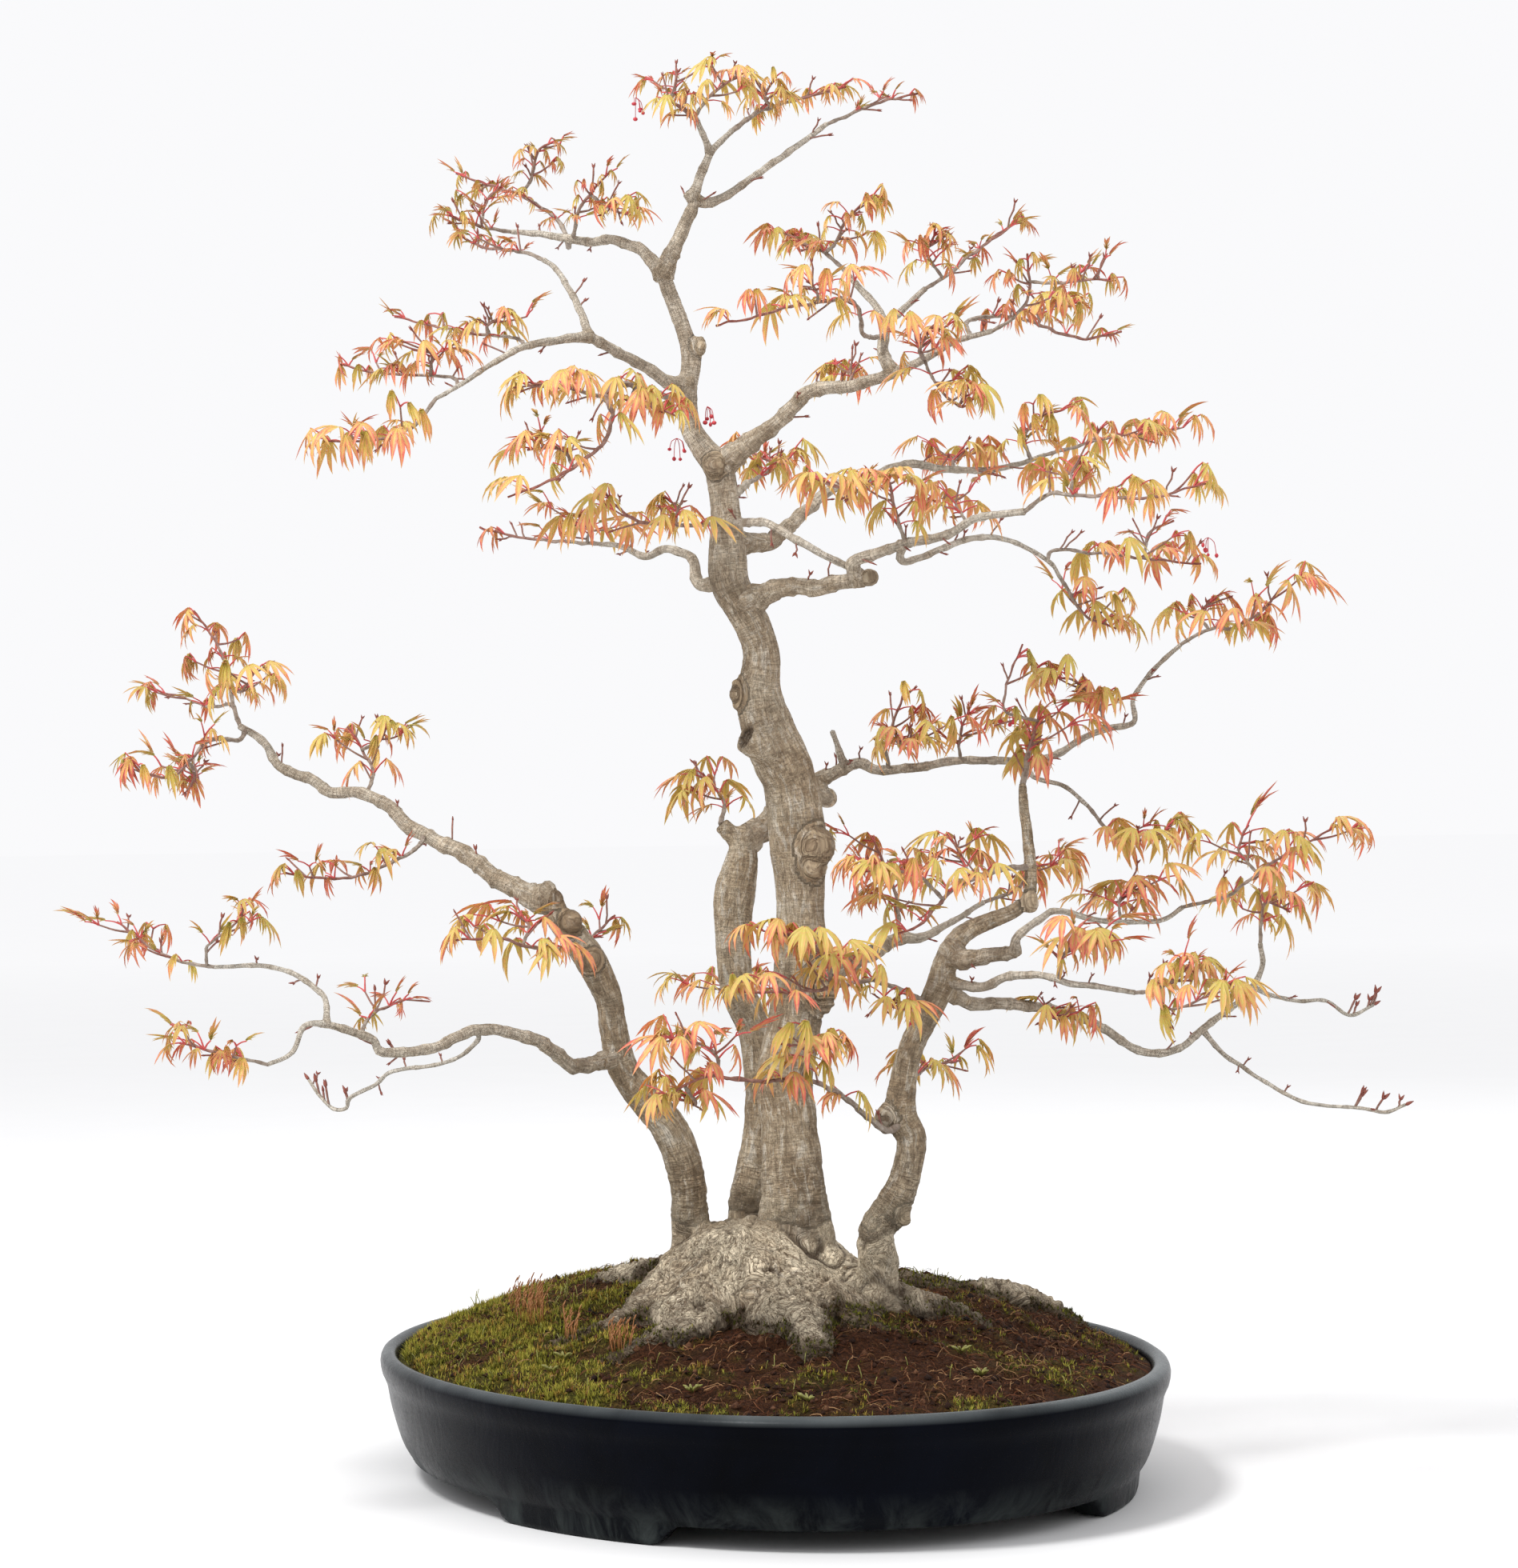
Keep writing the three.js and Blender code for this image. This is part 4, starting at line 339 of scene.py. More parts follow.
SPRAYS = [
    ["crown_left", [["crown_left", [[851, 136, -6], [836, 125, -10]], 7, 4, 0], [0, [[843, 112, 12],
        [846, 92, 20]], 5, 8, 1], [0, [[885, 122, -10], [907, 104, -18], [927, 92, -24]], 5, 9, 0]]],
    ["crown_right", [["crown_right", [[940, 145, 8], [969, 132, 16], [1000, 123, 22],
        [1058, 108, 30]], 7, 11, 0], [0, [[957, 120, -14], [968, 96, -22]], 5, 9, 0]]],
    ["apex", [["apex_branch", [[1068, 141, 8], [1099, 128, 12], [1125, 122, 16], [1148, 118, 20]], 5, 6, 1]]],
    ["top_left_rise", [["top_left", [[710, 308, 12], [702, 282, 18], [688, 268, 24], [650, 244, 36],
        [611, 231, 46], [570, 217, 54]], 7, 10, 1], [0, [[664, 222, -10], [672, 190, -16],
        [690, 176, -20]], 5, 11, 1]]],
    ["top_left_tip", [["top_left", [[596, 282, -8], [560, 268, -14]], 5, 9, 1], [0, [[606, 256, 12],
        [622, 236, 18]], 4, 6, 1]]],
    ["top_left_inner", [["top_left", [[722, 268, -16], [742, 238, -26], [762, 214, -32]], 5, 10, 1],
        [0, [[765, 262, -12], [788, 268, -18]], 4, 8, 0]]],
    ["upper_left_rise", [["upper_left_rise", [[659, 317, 8], [634, 313, 16], [602, 309, 24],
        [572, 293, 30]], 5, 9, 1]]],
    ["upper_left_side", [["upper_left_arm", [[650, 424, 14], [624, 419, 22], [587, 417, 34], [535, 406, 48],
        [492, 396, 54]], 5, 10, 1], [0, [[612, 404, -10], [630, 396, -16]], 4, 4, 0]]],
    ["upper_left_tip", [["upper_left_arm", [[519, 532, -8], [488, 547, -14], [446, 552, -20],
        [404, 550, -26]], 5, 13, 0]]],
    ["upper_left_outer", [["upper_left_arm", [[566, 472, 10], [519, 468, 20], [467, 466, 28],
        [425, 456, 34]], 5, 9, 1], [0, [[540, 446, -8], [530, 430, -12]], 4, 8, 0]]],
    ["mid_left", [["main_trunk", [[840, 498, -22], [807, 487, -32], [770, 480, -48], [757, 497, -58],
        [765, 516, -66], [760, 542, -74], [744, 563, -84], [708, 589, -96], [671, 608, -102],
        [634, 621, -108]], 9, 10, 0], [0, [[723, 488, -8], [690, 482, -14], [660, 478, -18]], 5, 9, 0],
        [0, [[790, 506, -10], [820, 510, -16], [845, 520, -20]], 5, 10, 0], [0, [[700, 560, 12],
        [660, 562, 20]], 5, 8, 0]]],
    ["low_left_thin", [["main_trunk", [[870, 656, -28], [823, 655, -40], [790, 648, -50], [765, 628, -58],
        [754, 610, -62]], 6, 8, 0], [0, [[845, 636, 8], [832, 622, 12]], 4, 3, 0]]],
    ["low_left_tip", [["low_left", [[723, 678, 8], [690, 676, 14], [655, 673, 20], [600, 660, 26]], 5, 3, 1],
        [0, [[735, 660, -12], [712, 656, -20]], 4, 9, 0]]],
    ["rise_left", [["rise_left", [[1030, 315, 8], [1011, 308, 12], [984, 294, 18], [962, 286, 22]], 5, 9, 0],
        [0, [[1046, 300, -14], [1060, 272, -22], [1082, 250, -28]], 5, 12, 0]]],
    ["rise_right", [["rise_right", [[1187, 342, 8], [1206, 323, 12], [1229, 308, 16], [1252, 290, 20],
        [1276, 270, 24]], 5, 10, 1], [0, [[1160, 318, -14], [1168, 290, -20]], 4, 9, 0]]],
    ["right_high_up", [["right_high", [[1262, 400, -4], [1282, 380, -8], [1286, 352, -12],
        [1284, 318, -16]], 5, 10, 1], [0, [[1325, 354, -14], [1359, 350, -20], [1393, 350, -26]], 4, 8, 1]]],
    ["right_high_end", [["right_high", [[1208, 402, 16], [1233, 396, 24], [1275, 398, 36], [1332, 419, 48],
        [1363, 424, 54], [1402, 414, 60]], 6, 7, 1], [0, [[1305, 386, -12], [1345, 382, -20]], 4, 9, 0]]],
    ["rise_front", [["right_high_rise", [[1080, 419, -22], [1072, 384, -34], [1057, 375, -42],
        [1018, 379, -54], [984, 384, -62], [938, 398, -70], [895, 406, -76]], 6, 11, 0], [0, [[1020, 362, -8],
        [1008, 352, -14]], 4, 6, 0]]],
    ["right_high_mid", [["right_high", [[1150, 438, -16], [1160, 416, -24], [1172, 402, -30]], 6, 12, 0],
        [0, [[1166, 474, -16], [1197, 508, -24], [1222, 496, -30]], 4, 10, 0]]],
    ["right_high_hang", [["right_high", [[1062, 466, 20], [1060, 460, 36]], 4, 7, 0]]],
    ["back_high", [["back_high", [[955, 592, 22], [968, 580, 38], [950, 572, 54]], 6, 14, 0]]],
    ["back_low", [["back_low", [[912, 1236, 20], [900, 1240, 40], [930, 1226, 58]], 6, 12, 0]]],
    ["right_low_up", [["right_low_rise", [[1120, 640, -12], [1112, 606, -18], [1104, 592, -22]], 5, 12, 0],
        [0, [[1070, 612, -8], [1022, 600, -14]], 4, 9, 0]]],
    ["right_mid_up", [["right_mid", [[1192, 572, 10], [1218, 566, 18]], 5, 10, 0]]],
    ["right_low_mid", [["right_low_rise", [[1195, 632, 16], [1182, 616, 30]], 4, 9, 0]]],
    ["right_mid_high", [["right_mid", [[1280, 548, -14], [1300, 522, -22], [1330, 512, -26]], 5, 12, 0]]],
    ["right_mid_tip", [["right_mid", [[1349, 557, 8], [1392, 545, 14], [1440, 540, 20],
        [1470, 536, 24]], 5, 17, 0]]],
    ["right_low_tip", [["right_low_rise", [[1311, 618, -8], [1350, 620, -14], [1400, 622, -20],
        [1441, 622, -26], [1505, 604, -32]], 6, 12, 0], [0, [[1340, 590, 8], [1352, 576, 14]], 4, 7, 0]]],
    ["right_under_side", [["right_under", [[1316, 688, 6], [1354, 690, 10], [1400, 694, 16], [1440, 700, 22],
        [1500, 704, 28]], 5, 11, 0], [0, [[1435, 667, 12], [1466, 650, 18]], 4, 3, 1]]],
    ["back_right_tip", [["back_right", [[1510, 786, -6], [1544, 784, -12], [1580, 760, -18],
        [1606, 728, -22]], 5, 12, 0], [0, [[1500, 768, 14], [1516, 750, 20]], 4, 7, 0]]],
    ["right_under_tip", [["right_under", [[1336, 740, 4], [1355, 768, 10], [1394, 786, 14]], 5, 10, 0]]],
    ["back_shoot", [["back_right", [[1108, 932, -10], [1120, 892, -16], [1134, 856, -20]], 5, 7, 1],
        [0, [[1130, 930, -14], [1142, 926, -20]], 4, 12, 0]]],
    ["back_shoot_right", [["back_right", [[1200, 918, -10], [1212, 888, -14]], 4, 7, 1]]],
    ["right_top", [["right_trunk", [[1286, 940, 2], [1292, 915, 4], [1298, 896, 6]], 8, 15, 0],
        [0, [[1256, 888, -12], [1262, 845, -16], [1278, 805, -18]], 4, 4, 1]]],
    ["back_right_up", [["back_right", [[1372, 880, -12], [1345, 852, -20], [1322, 846, -24]], 5, 12, 0]]],
    ["back_left", [["back_stub", [[905, 1006, 10], [890, 980, 16], [868, 966, 20]], 6, 10, 0]]],
    ["back_right_low", [["back_right_low", [[1383, 1036, -8], [1402, 1050, -12], [1440, 1046, -18],
        [1462, 1034, -22]], 5, 11, 0]]],
    ["right_arm_tip", [["right_arm", [[1527, 1122, -8], [1547, 1112, -12], [1587, 1080, -18],
        [1627, 1058, -24], [1672, 1030, -30]], 5, 12, 0], [0, [[1548, 1062, 10],
        [1560, 1032, 16]], 4, 9, 0]]],
    ["right_long_tip", [["right_long", [[1576, 1152, 4], [1584, 1128, 8], [1612, 1140, 12]], 5, 10, 0]]],
    ["right_parallel_tip", [["right_parallel", [[1438, 1239, -4], [1468, 1224, -8],
        [1492, 1200, -12]], 5, 9, 0], [0, [[1460, 1262, -10], [1497, 1251, -16],
        [1537, 1226, -20]], 4, 8, 0]]],
    ["right_parallel_up", [["right_parallel", [[1330, 1196, -10], [1350, 1176, -16],
        [1390, 1180, -22]], 5, 13, 0]]],
    ["right_arm_mid", [["right_arm", [[1400, 1120, 8], [1425, 1106, 12]], 4, 9, 0]]],
    ["right_upper_left", [["right_trunk", [[1249, 1087, -12], [1214, 1099, -20], [1189, 1114, -27],
        [1169, 1134, -34], [1149, 1157, -41], [1120, 1168, -48]], 8, 10, 0], [0, [[1150, 1096, -8],
        [1110, 1088, -16], [1078, 1090, -22]], 5, 12, 0], [0, [[1200, 1070, 12],
        [1190, 1048, 18]], 4, 8, 0]]],
    ["main_right_tip", [["main_right", [[1269, 1112, 8], [1290, 1086, 14], [1330, 1078, 20]], 5, 11, 0]]],
    ["main_right_up", [["main_right", [[1120, 1120, 16], [1100, 1070, 24], [1090, 1046, 28]], 6, 12, 0]]],
    ["right_mid_left", [["right_trunk", [[1113, 1232, -18], [1083, 1226, -28], [1044, 1234, -42],
        [1006, 1240, -54], [960, 1240, -66], [905, 1240, -76]], 7, 12, 0], [0, [[1034, 1204, -10],
        [1012, 1178, -16], [980, 1164, -20]], 5, 15, 0], [0, [[1104, 1252, -8],
        [1130, 1262, -14]], 4, 7, 0]]],
    ["right_inner_left", [["right_trunk", [[1108, 1413, -14], [1083, 1395, -24], [1060, 1375, -34],
        [1037, 1360, -44], [1002, 1349, -56], [953, 1352, -68], [914, 1347, -78], [872, 1349, -86],
        [812, 1388, -94]], 9, 10, 0], [0, [[895, 1318, -10], [870, 1304, -16], [838, 1300, -20]], 5, 12, 0],
        [0, [[870, 1380, 12], [846, 1372, 18]], 5, 7, 0], [0, [[1010, 1318, -10], [1000, 1304, -16],
        [1040, 1296, -22]], 5, 10, 0]]],
    ["right_inner_up", [["right_trunk", [[1146, 1344, 24], [1165, 1332, 46], [1200, 1326, 66]], 6, 8, 0]]],
    ["right_long_hang", [["right_long", [[1312, 1270, -12], [1330, 1280, -18]], 4, 7, 0]]],
    ["left_arm_tip", [["left_arm", [[292, 884, 6], [286, 849, 12], [279, 823, 16], [265, 795, 22],
        [242, 764, 26]], 6, 10, 1], [0, [[305, 862, -14], [318, 838, -22]], 4, 10, 0], [0, [[262, 884, 10],
        [240, 876, 16], [192, 862, 24]], 4, 5, 1]]],
    ["left_arm_arch", [["left_arm", [[298, 925, -10], [262, 926, -18], [240, 948, -24], [214, 970, -32],
        [180, 966, -38], [162, 950, -42]], 6, 11, 1], [0, [[246, 966, 8], [240, 984, 12]], 4, 6, 1]]],
    ["left_arm_shoot", [["left_arm", [[466, 965, 14], [448, 930, 24], [436, 908, 30]], 5, 7, 0],
        [0, [[476, 925, -8], [484, 905, -12]], 4, 5, 1]]],
    ["left_arm_low", [["left_arm", [[521, 1060, -14], [493, 1076, -24], [450, 1094, -34], [400, 1098, -42],
        [355, 1090, -48]], 6, 11, 1]]],
    ["left_low_arch", [["left_low_arch", [[247, 1206, 4], [222, 1200, 8], [188, 1184, 12], [164, 1165, 16],
        [147, 1152, 20]], 5, 11, 1], [0, [[262, 1180, -10], [300, 1150, -16], [304, 1124, -20]], 4, 6, 1]]],
    ["left_low_tip", [["left_low", [[307, 1325, -6], [273, 1316, -12], [225, 1304, -18]], 5, 11, 1]]],
    ["left_low_twig", [["left_low", [[462, 1270, 12], [486, 1258, 20], [512, 1248, 26]], 5, 6, 1]]],
    ["left_front", [["left_trunk", [[700, 1187, -28], [660, 1182, -42], [620, 1172, -52],
        [570, 1176, -58]], 6, 10, 0], [0, [[660, 1156, 10], [646, 1144, 14]], 4, 6, 0], [0, [[736, 1176, 6],
        [752, 1158, 12], [768, 1144, 16]], 4, 5, 1]]],
]

ROOT_BASE = [
    [48, 10, -42, 100, 98, 0.15], [76, 8, -42, 94, 90, 0.15], [94, 4, -41, 84, 81, 0.12],
    [110, 0, -40, 72, 70, 0.09], [124, -4, -36, 57, 56, 0.06], [135, -6, -34, 45, 46, 0.03],
    [145, -4, -34, 30, 34, 0],
]

ROOTS = [
    [[-55, -66, 4, 12], [-88, -84, 1, 8], [-118, -92, -1, 5], [-142, -96, -7, 3]],
    [[-34, -106, 2, 11], [-66, -129, 1, 8.5], [-98, -144, -5, 4]],
    [[46, -104, 1, 7], [74, -126, -0.5, 4.2], [100, -138, -1, 3.2], [122, -140, -6, 2]],
    [[16, -110, 2, 15], [23, -140, 1, 13], [27, -163, -2, 11]],
    [[70, -60, 3, 13], [104, -70, 0, 9], [136, -78, -7, 4]],
    [[78, 0, -4, 12], [112, 22, -3, 11], [142, 34, 2, 13], [168, 40, -2, 11], [190, 42, -12, 6]],
    [[-60, 4, 3, 13], [-92, 34, 0, 9], [-112, 70, -8, 4]],
    [[20, 36, 2, 14], [34, 78, 0, 9], [40, 116, -8, 4]],
]


def full_turn(count):
    """Even turns round a circle."""
    return 2 * math.pi * np.arange(count) / count


def pointing(turn, rise=0.0):
    """Unit vectors by their turn from +X and their rise."""
    turn, rise = np.broadcast_arrays(turn, rise)
    return np.stack([np.cos(turn) * np.cos(rise), np.sin(turn) * np.cos(rise), np.sin(rise)], -1)


def left_of(vectors):
    """Vectors turned a quarter to the left, seen from above."""
    return vectors[..., [1, 0, 2]] * [-1, 1, 1]


def unit(vector):
    """The vector at length one."""
    return vector / np.linalg.norm(vector)


def place(rows):
    """Places of rows that start with a point of the elevation drawing and its depth."""
    x, y, depth = np.asarray(rows, float)[:, :3].T
    across, up = x - DRAWING_MIDDLE[0], DRAWING_MIDDLE[1] - y
    a = math.cos(DRAWING_TURN) * across + math.sin(DRAWING_TURN) * up
    b = math.cos(DRAWING_TURN) * up - math.sin(DRAWING_TURN) * across
    ahead = SQUARES_PER_RADIAN * math.cos(DRAWING_TILT) + b * math.sin(DRAWING_TILT)
    rise = b * math.cos(DRAWING_TILT) - SQUARES_PER_RADIAN * math.sin(DRAWING_TILT)
    reach = (depth + VIEW_DISTANCE) / ahead
    return np.stack([reach * a, depth, VIEW_HEIGHT + reach * rise], axis=1)


def draw(seed, turn):
    """Repeatable random number from 0 to 1."""
    value = math.sin(seed * 12.9898 + turn * 78.233) * 43758.5453
    return value - math.floor(value)


def vary(bounds, seed, turn):
    """A value from its least one and its range."""
    return bounds[0] + bounds[1] * draw(seed, turn)


def nearest(route, x, y):
    """The point of a route that lies nearest to a point of the drawing."""
    route, target = np.array(route, float), np.array([x, y])
    points = []
    for start, end in zip(route, route[1:]):
        step = (end - start)[:2]
        share = np.clip((target - start[:2]) @ step / (step @ step), 0, 1)
        points.append(start + share * (end - start))
    return min(points, key=lambda point: math.hypot(*(point[:2] - target)))


def smooth(points, step):
    """Points along a smooth curve through points, about a step apart in their first three values."""
    padded = np.vstack([2 * points[0] - points[1], points, 2 * points[-1] - points[-2]])
    parts = []
    for a, b, c, d in zip(padded, padded[1:], padded[2:], padded[3:]):
        count = max(1, round(np.linalg.norm(c[:3] - b[:3]) / step))
        t = (np.arange(count) / count)[:, None]
        parts.append(0.5 * (2 * b + (c - a) * t + (2 * a - 5 * b + 4 * c - d) * t**2
                            + (3 * b - a - 3 * c + d) * t**3))
    return np.vstack([*parts, points[-1:]])


def curve(rows, step):
    """Places and radii along a smooth curve through rows of drawing point, depth and width."""
    rows = np.asarray(rows, float)
    radii = 0.5 * rows[:, 3] * (rows[:, 2] + VIEW_DISTANCE) / SQUARES_PER_RADIAN
    return smooth(np.column_stack([place(rows), radii]), step)


def lengths_along(centres):
    """How far each point of a line lies along it."""
    return np.concatenate([[0], np.cumsum(np.linalg.norm(np.diff(centres, axis=0), axis=1))])


def ring_at(along, at):
    """The ring of a line at a length along it, never the first."""
    return min(max(np.searchsorted(along, at), 1), len(along) - 1)


def step_to(line, here):
    """Direction of a line just before one of its rings."""
    return unit(line[here, :3] - line[here - 1, :3])


def directions(centres):
    """Unit vectors along a line of centres and two across it that turn as little as they can."""
    ahead = np.gradient(centres, axis=0)
    ahead /= np.linalg.norm(ahead, axis=1, keepdims=True)
    side = np.cross(FIRST_SIDE, ahead[0])
    sides = []
    for tangent in ahead:
        side = unit(side - tangent * side.dot(tangent))
        sides.append(side)
    return ahead, np.array(sides), np.cross(ahead, sides)


def ring_triangles(rows, count):
    """Triangles of a stack of rings, closed by two end corners that follow the rings."""
    r, i = (grid.ravel() for grid in np.meshgrid(np.arange(rows - 1), np.arange(count), indexing="ij"))
    a, b = r * count + i, r * count + (i + 1) % count
    i, j = np.arange(count), (np.arange(count) + 1) % count
    low, top = np.full(count, rows * count), (rows - 1) * count
    return np.vstack([
        np.stack([a, b, b + count], 1), np.stack([a, b + count, a + count], 1),
        np.stack([low, j, i], 1), np.stack([low + 1, top + i, top + j], 1)])


def bumps(points, scale=1.0, shift=0.0):
    """Smooth noise from -1 to 1 at points."""
    return np.array([noise.noise(point) for point in (points * scale + shift).tolist()])


def wander(points, scale, shifts=(1.5, 6.5, 11.5)):
    """Smooth noise in three directions."""
    return np.stack([bumps(points, scale, shift) for shift in shifts], 1)


def creases(points, scale=1.0, shift=0.0):
    """Rounded folds with sharp valleys, about -0.5 to 0.6."""
    return np.abs(bumps(points, scale, shift)) * 2.6 - 0.5


class Shape:
    """Corners in mm and triangles of one piece, with the grain and marks that its materials read."""

    def __init__(self):
        self.corners, self.triangles, self.kinds, self.grain, self.mark = [], [], [], [], []
        self.count = 0

    def add(self, corners, triangles, kind=0, grain=None, mark=(0, 0, 0)):
        """Adds a part whose kind is the number of its material. Grain is its places if it isn't given."""
        corners = np.asarray(corners, float)
        self.corners.append(corners)
        self.triangles.append(np.asarray(triangles) + self.count)
        self.kinds.append(np.full(len(triangles), kind))
        self.grain.append(corners if grain is None else grain)
        self.mark.append(np.broadcast_to(np.asarray(mark, float), corners.shape))
        self.count += len(corners)

    def tube(self, line, count, kind=0, mark=(0, 0, 0), relief=None, tip=0.6):
        """Adds a closed tube along rows of place and radius. Relief gives what is added to the radius."""
        centres, radii = line[:, :3], np.maximum(line[:, 3], 0.25)
        ahead, sides, others = directions(centres)
        turns, along = full_turn(count), lengths_along(centres)
        reach, height = (np.repeat(values[:, None], count, axis=1) for values in (radii, along))
        grain = np.stack([reach * np.cos(turns), reach * np.sin(turns), height], -1)
        if relief is not None:
            reach = reach + relief(grain.reshape(-1, 3), reach.ravel()).reshape(reach.shape)
        rings = centres[:, None] + reach[..., None] * (
            np.cos(turns)[None, :, None] * sides[:, None] + np.sin(turns)[None, :, None] * others[:, None])
        ends = [centres[0] - ahead[0] * radii[0] * tip, centres[-1] + ahead[-1] * radii[-1] * tip]
        grain = np.vstack([grain.reshape(-1, 3), [[0, 0, along[0]], [0, 0, along[-1]]]])
        marks = np.asarray(mark, float)
        if marks.ndim == 2:
            marks = np.vstack([np.repeat(marks, count, axis=0), marks[0], marks[-1]])
        corners = np.vstack([rings.reshape(-1, 3), ends])
        self.add(corners, ring_triangles(len(rings), count), kind, grain, marks)

    def ball(self, centre, radii, rows=10, count=16):
        """Adds a closed egg shape."""
        rise = np.linspace(-math.pi / 2, math.pi / 2, rows + 2)[1:-1]
        rings = pointing(full_turn(count), rise[:, None])
        corners = np.vstack([rings.reshape(-1, 3), [-UP, UP]]) * radii + centre
        self.add(corners, ring_triangles(rows, count))

    def mesh(self, name):
        """The parts as one mesh in metres."""
        mesh = bpy.data.meshes.new(name)
        corners, triangles = np.vstack(self.corners) * MM + POT_MIDDLE, np.vstack(self.triangles)
        mesh.vertices.add(len(corners))
        mesh.vertices.foreach_set("co", corners.astype(np.float32).ravel())
        mesh.loops.add(triangles.size)
        mesh.loops.foreach_set("vertex_index", triangles.astype(np.int32).ravel())
        mesh.polygons.add(len(triangles))
        mesh.polygons.foreach_set("loop_start", np.arange(0, triangles.size, 3, dtype=np.int32))
        mesh.polygons.foreach_set("material_index", np.concatenate(self.kinds).astype(np.int32))
        mesh.update(calc_edges=True)
        for label, rows in (("grain", self.grain), ("mark", self.mark)):
            layer = mesh.attributes.new(label, "FLOAT_VECTOR", "POINT")
            layer.data.foreach_set("vector", np.vstack(rows).astype(np.float32).ravel())
        return mesh

    def show(self, name, materials, slot, *nodes, sharp=None):
        """Adds the piece to the scene. It stands for the named nodes."""
        mesh = self.mesh(name)
        mesh.shade_smooth()
        if sharp:
            mesh.set_sharp_from_angle(angle=sharp)
        for material in materials:
            mesh.materials.append(material)
        piece = bpy.data.objects.new(name, mesh)
        bpy.context.scene.collection.objects.link(piece)
        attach(piece, "root")
        if nodes:
            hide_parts(*nodes)


# Routes of all limbs with their true depths
routes = dict(TRUNKS)
for name, parent, points in BRANCHES:
    start = nearest(routes[parent], points[0][0], points[0][1])
    own = [[x, y, start[2] + DEPTH_SPREAD * depth, width] for x, y, depth, width in points]
    routes[name] = [[*start[:3], min(start[3], points[0][3] * LIMB_FLARE)], *own]


def oval(turn, inset, height, share=1.0):
    """Points of the pot's oval, moved in by an inset."""
    along = share * (POT_LENGTH / 2 - inset) * np.cos(turn)
    across = share * (POT_WIDTH / 2 - WIDTH_INSET_SHARE * inset) * np.sin(turn)
    return np.stack([
        along * math.cos(POT_TURN) - across * math.sin(POT_TURN),
        along * math.sin(POT_TURN) + across * math.cos(POT_TURN), np.broadcast_to(height, along.shape)], -1)


def oval_share(x, y, inset, width_inset):
    """How far places lie from the middle of the pot's oval, as a share of its moved-in edge."""
    along = x * math.cos(POT_TURN) + y * math.sin(POT_TURN)
    across = y * math.cos(POT_TURN) - x * math.sin(POT_TURN)
    return np.hypot(along / (POT_LENGTH / 2 - inset), across / (POT_WIDTH / 2 - width_inset))


def soil_height(x, y):
    """Height of the plain mound."""
    share = np.minimum(1, oval_share(x, y, *MOUND_INSETS))
    rise = MOUND_RISE + MOUND_BACK_RISE * y / (POT_LENGTH / 2)
    return SOIL_EDGE + rise * (1 - share**MOUND_POWER)


class Value:
    """An output in a material's nodes, with what can be made from it."""

    def __init__(self, graph, socket):
        self.graph, self.socket = graph, socket

    def __add__(self, other):
        return self.math("ADD", self, other)

    def __sub__(self, other):
        return self.math("SUBTRACT", self, other)

    def __rsub__(self, other):
        return self.math("SUBTRACT", other, self)

    def __mul__(self, other):
        return self.math("MULTIPLY", self, other)

    def math(self, how, a, b):
        return self.graph.node("ShaderNodeMath", {0: a, 1: b}, operation=how)

    def max(self, other):
        return self.math("MAXIMUM", self, other)

    def parts(self):
        """The three values of a vector."""
        node = self.graph.tree.nodes.new("ShaderNodeSeparateXYZ")
        self.graph.put(node.inputs[0], self)
        return [Value(self.graph, socket) for socket in node.outputs]

    def scaled(self, scale):
        """A vector with its own scale for each direction."""
        return self.graph.node("ShaderNodeMapping", {"Vector": self, "Scale": scale})

    def cloud(self, scale, detail, rough=0.55, warp=0.0):
        """Noise from 0 to 1 with one scale or one for each direction."""
        vector, scale = (self.scaled(scale), 1.0) if isinstance(scale, tuple) else (self, scale)
        return self.graph.node("ShaderNodeTexNoise", {
            "Vector": vector, "Scale": scale, "Detail": detail, "Roughness": rough, "Distortion": warp})

    def cells(self, scale):
        """Distance from the middle of the nearest cell."""
        return self.graph.node("ShaderNodeTexVoronoi", {"Vector": self.scaled(scale), "Scale": 1.0})

    def ramp(self, *stops):
        """Greys or colours by stops of place and tone."""
        node = self.graph.tree.nodes.new("ShaderNodeValToRGB")
        self.graph.put(node.inputs[0], self)
        steps = node.color_ramp.elements
        while len(steps) < len(stops):
            steps.new(0.5)
        for step, (at, tone) in zip(steps, stops):
            step.position = at
            step.color = (*tone, 1) if isinstance(tone, tuple) else (tone, tone, tone, 1)
        return Value(self.graph, node.outputs[0])

    def vein(self, half, top=1.0):
        """A narrow band round the middle tone."""
        return self.ramp((0.5 - half, 0.0), (0.5, top), (0.5 + half, 0.0))

    def under(self, *layers):
        """This colour with layers of share and colour over it."""
        colour = self
        for share, over in layers:
            colour = self.graph.node("ShaderNodeMix", {0: share, 6: colour, 7: over}, 2, data_type="RGBA")
        return colour


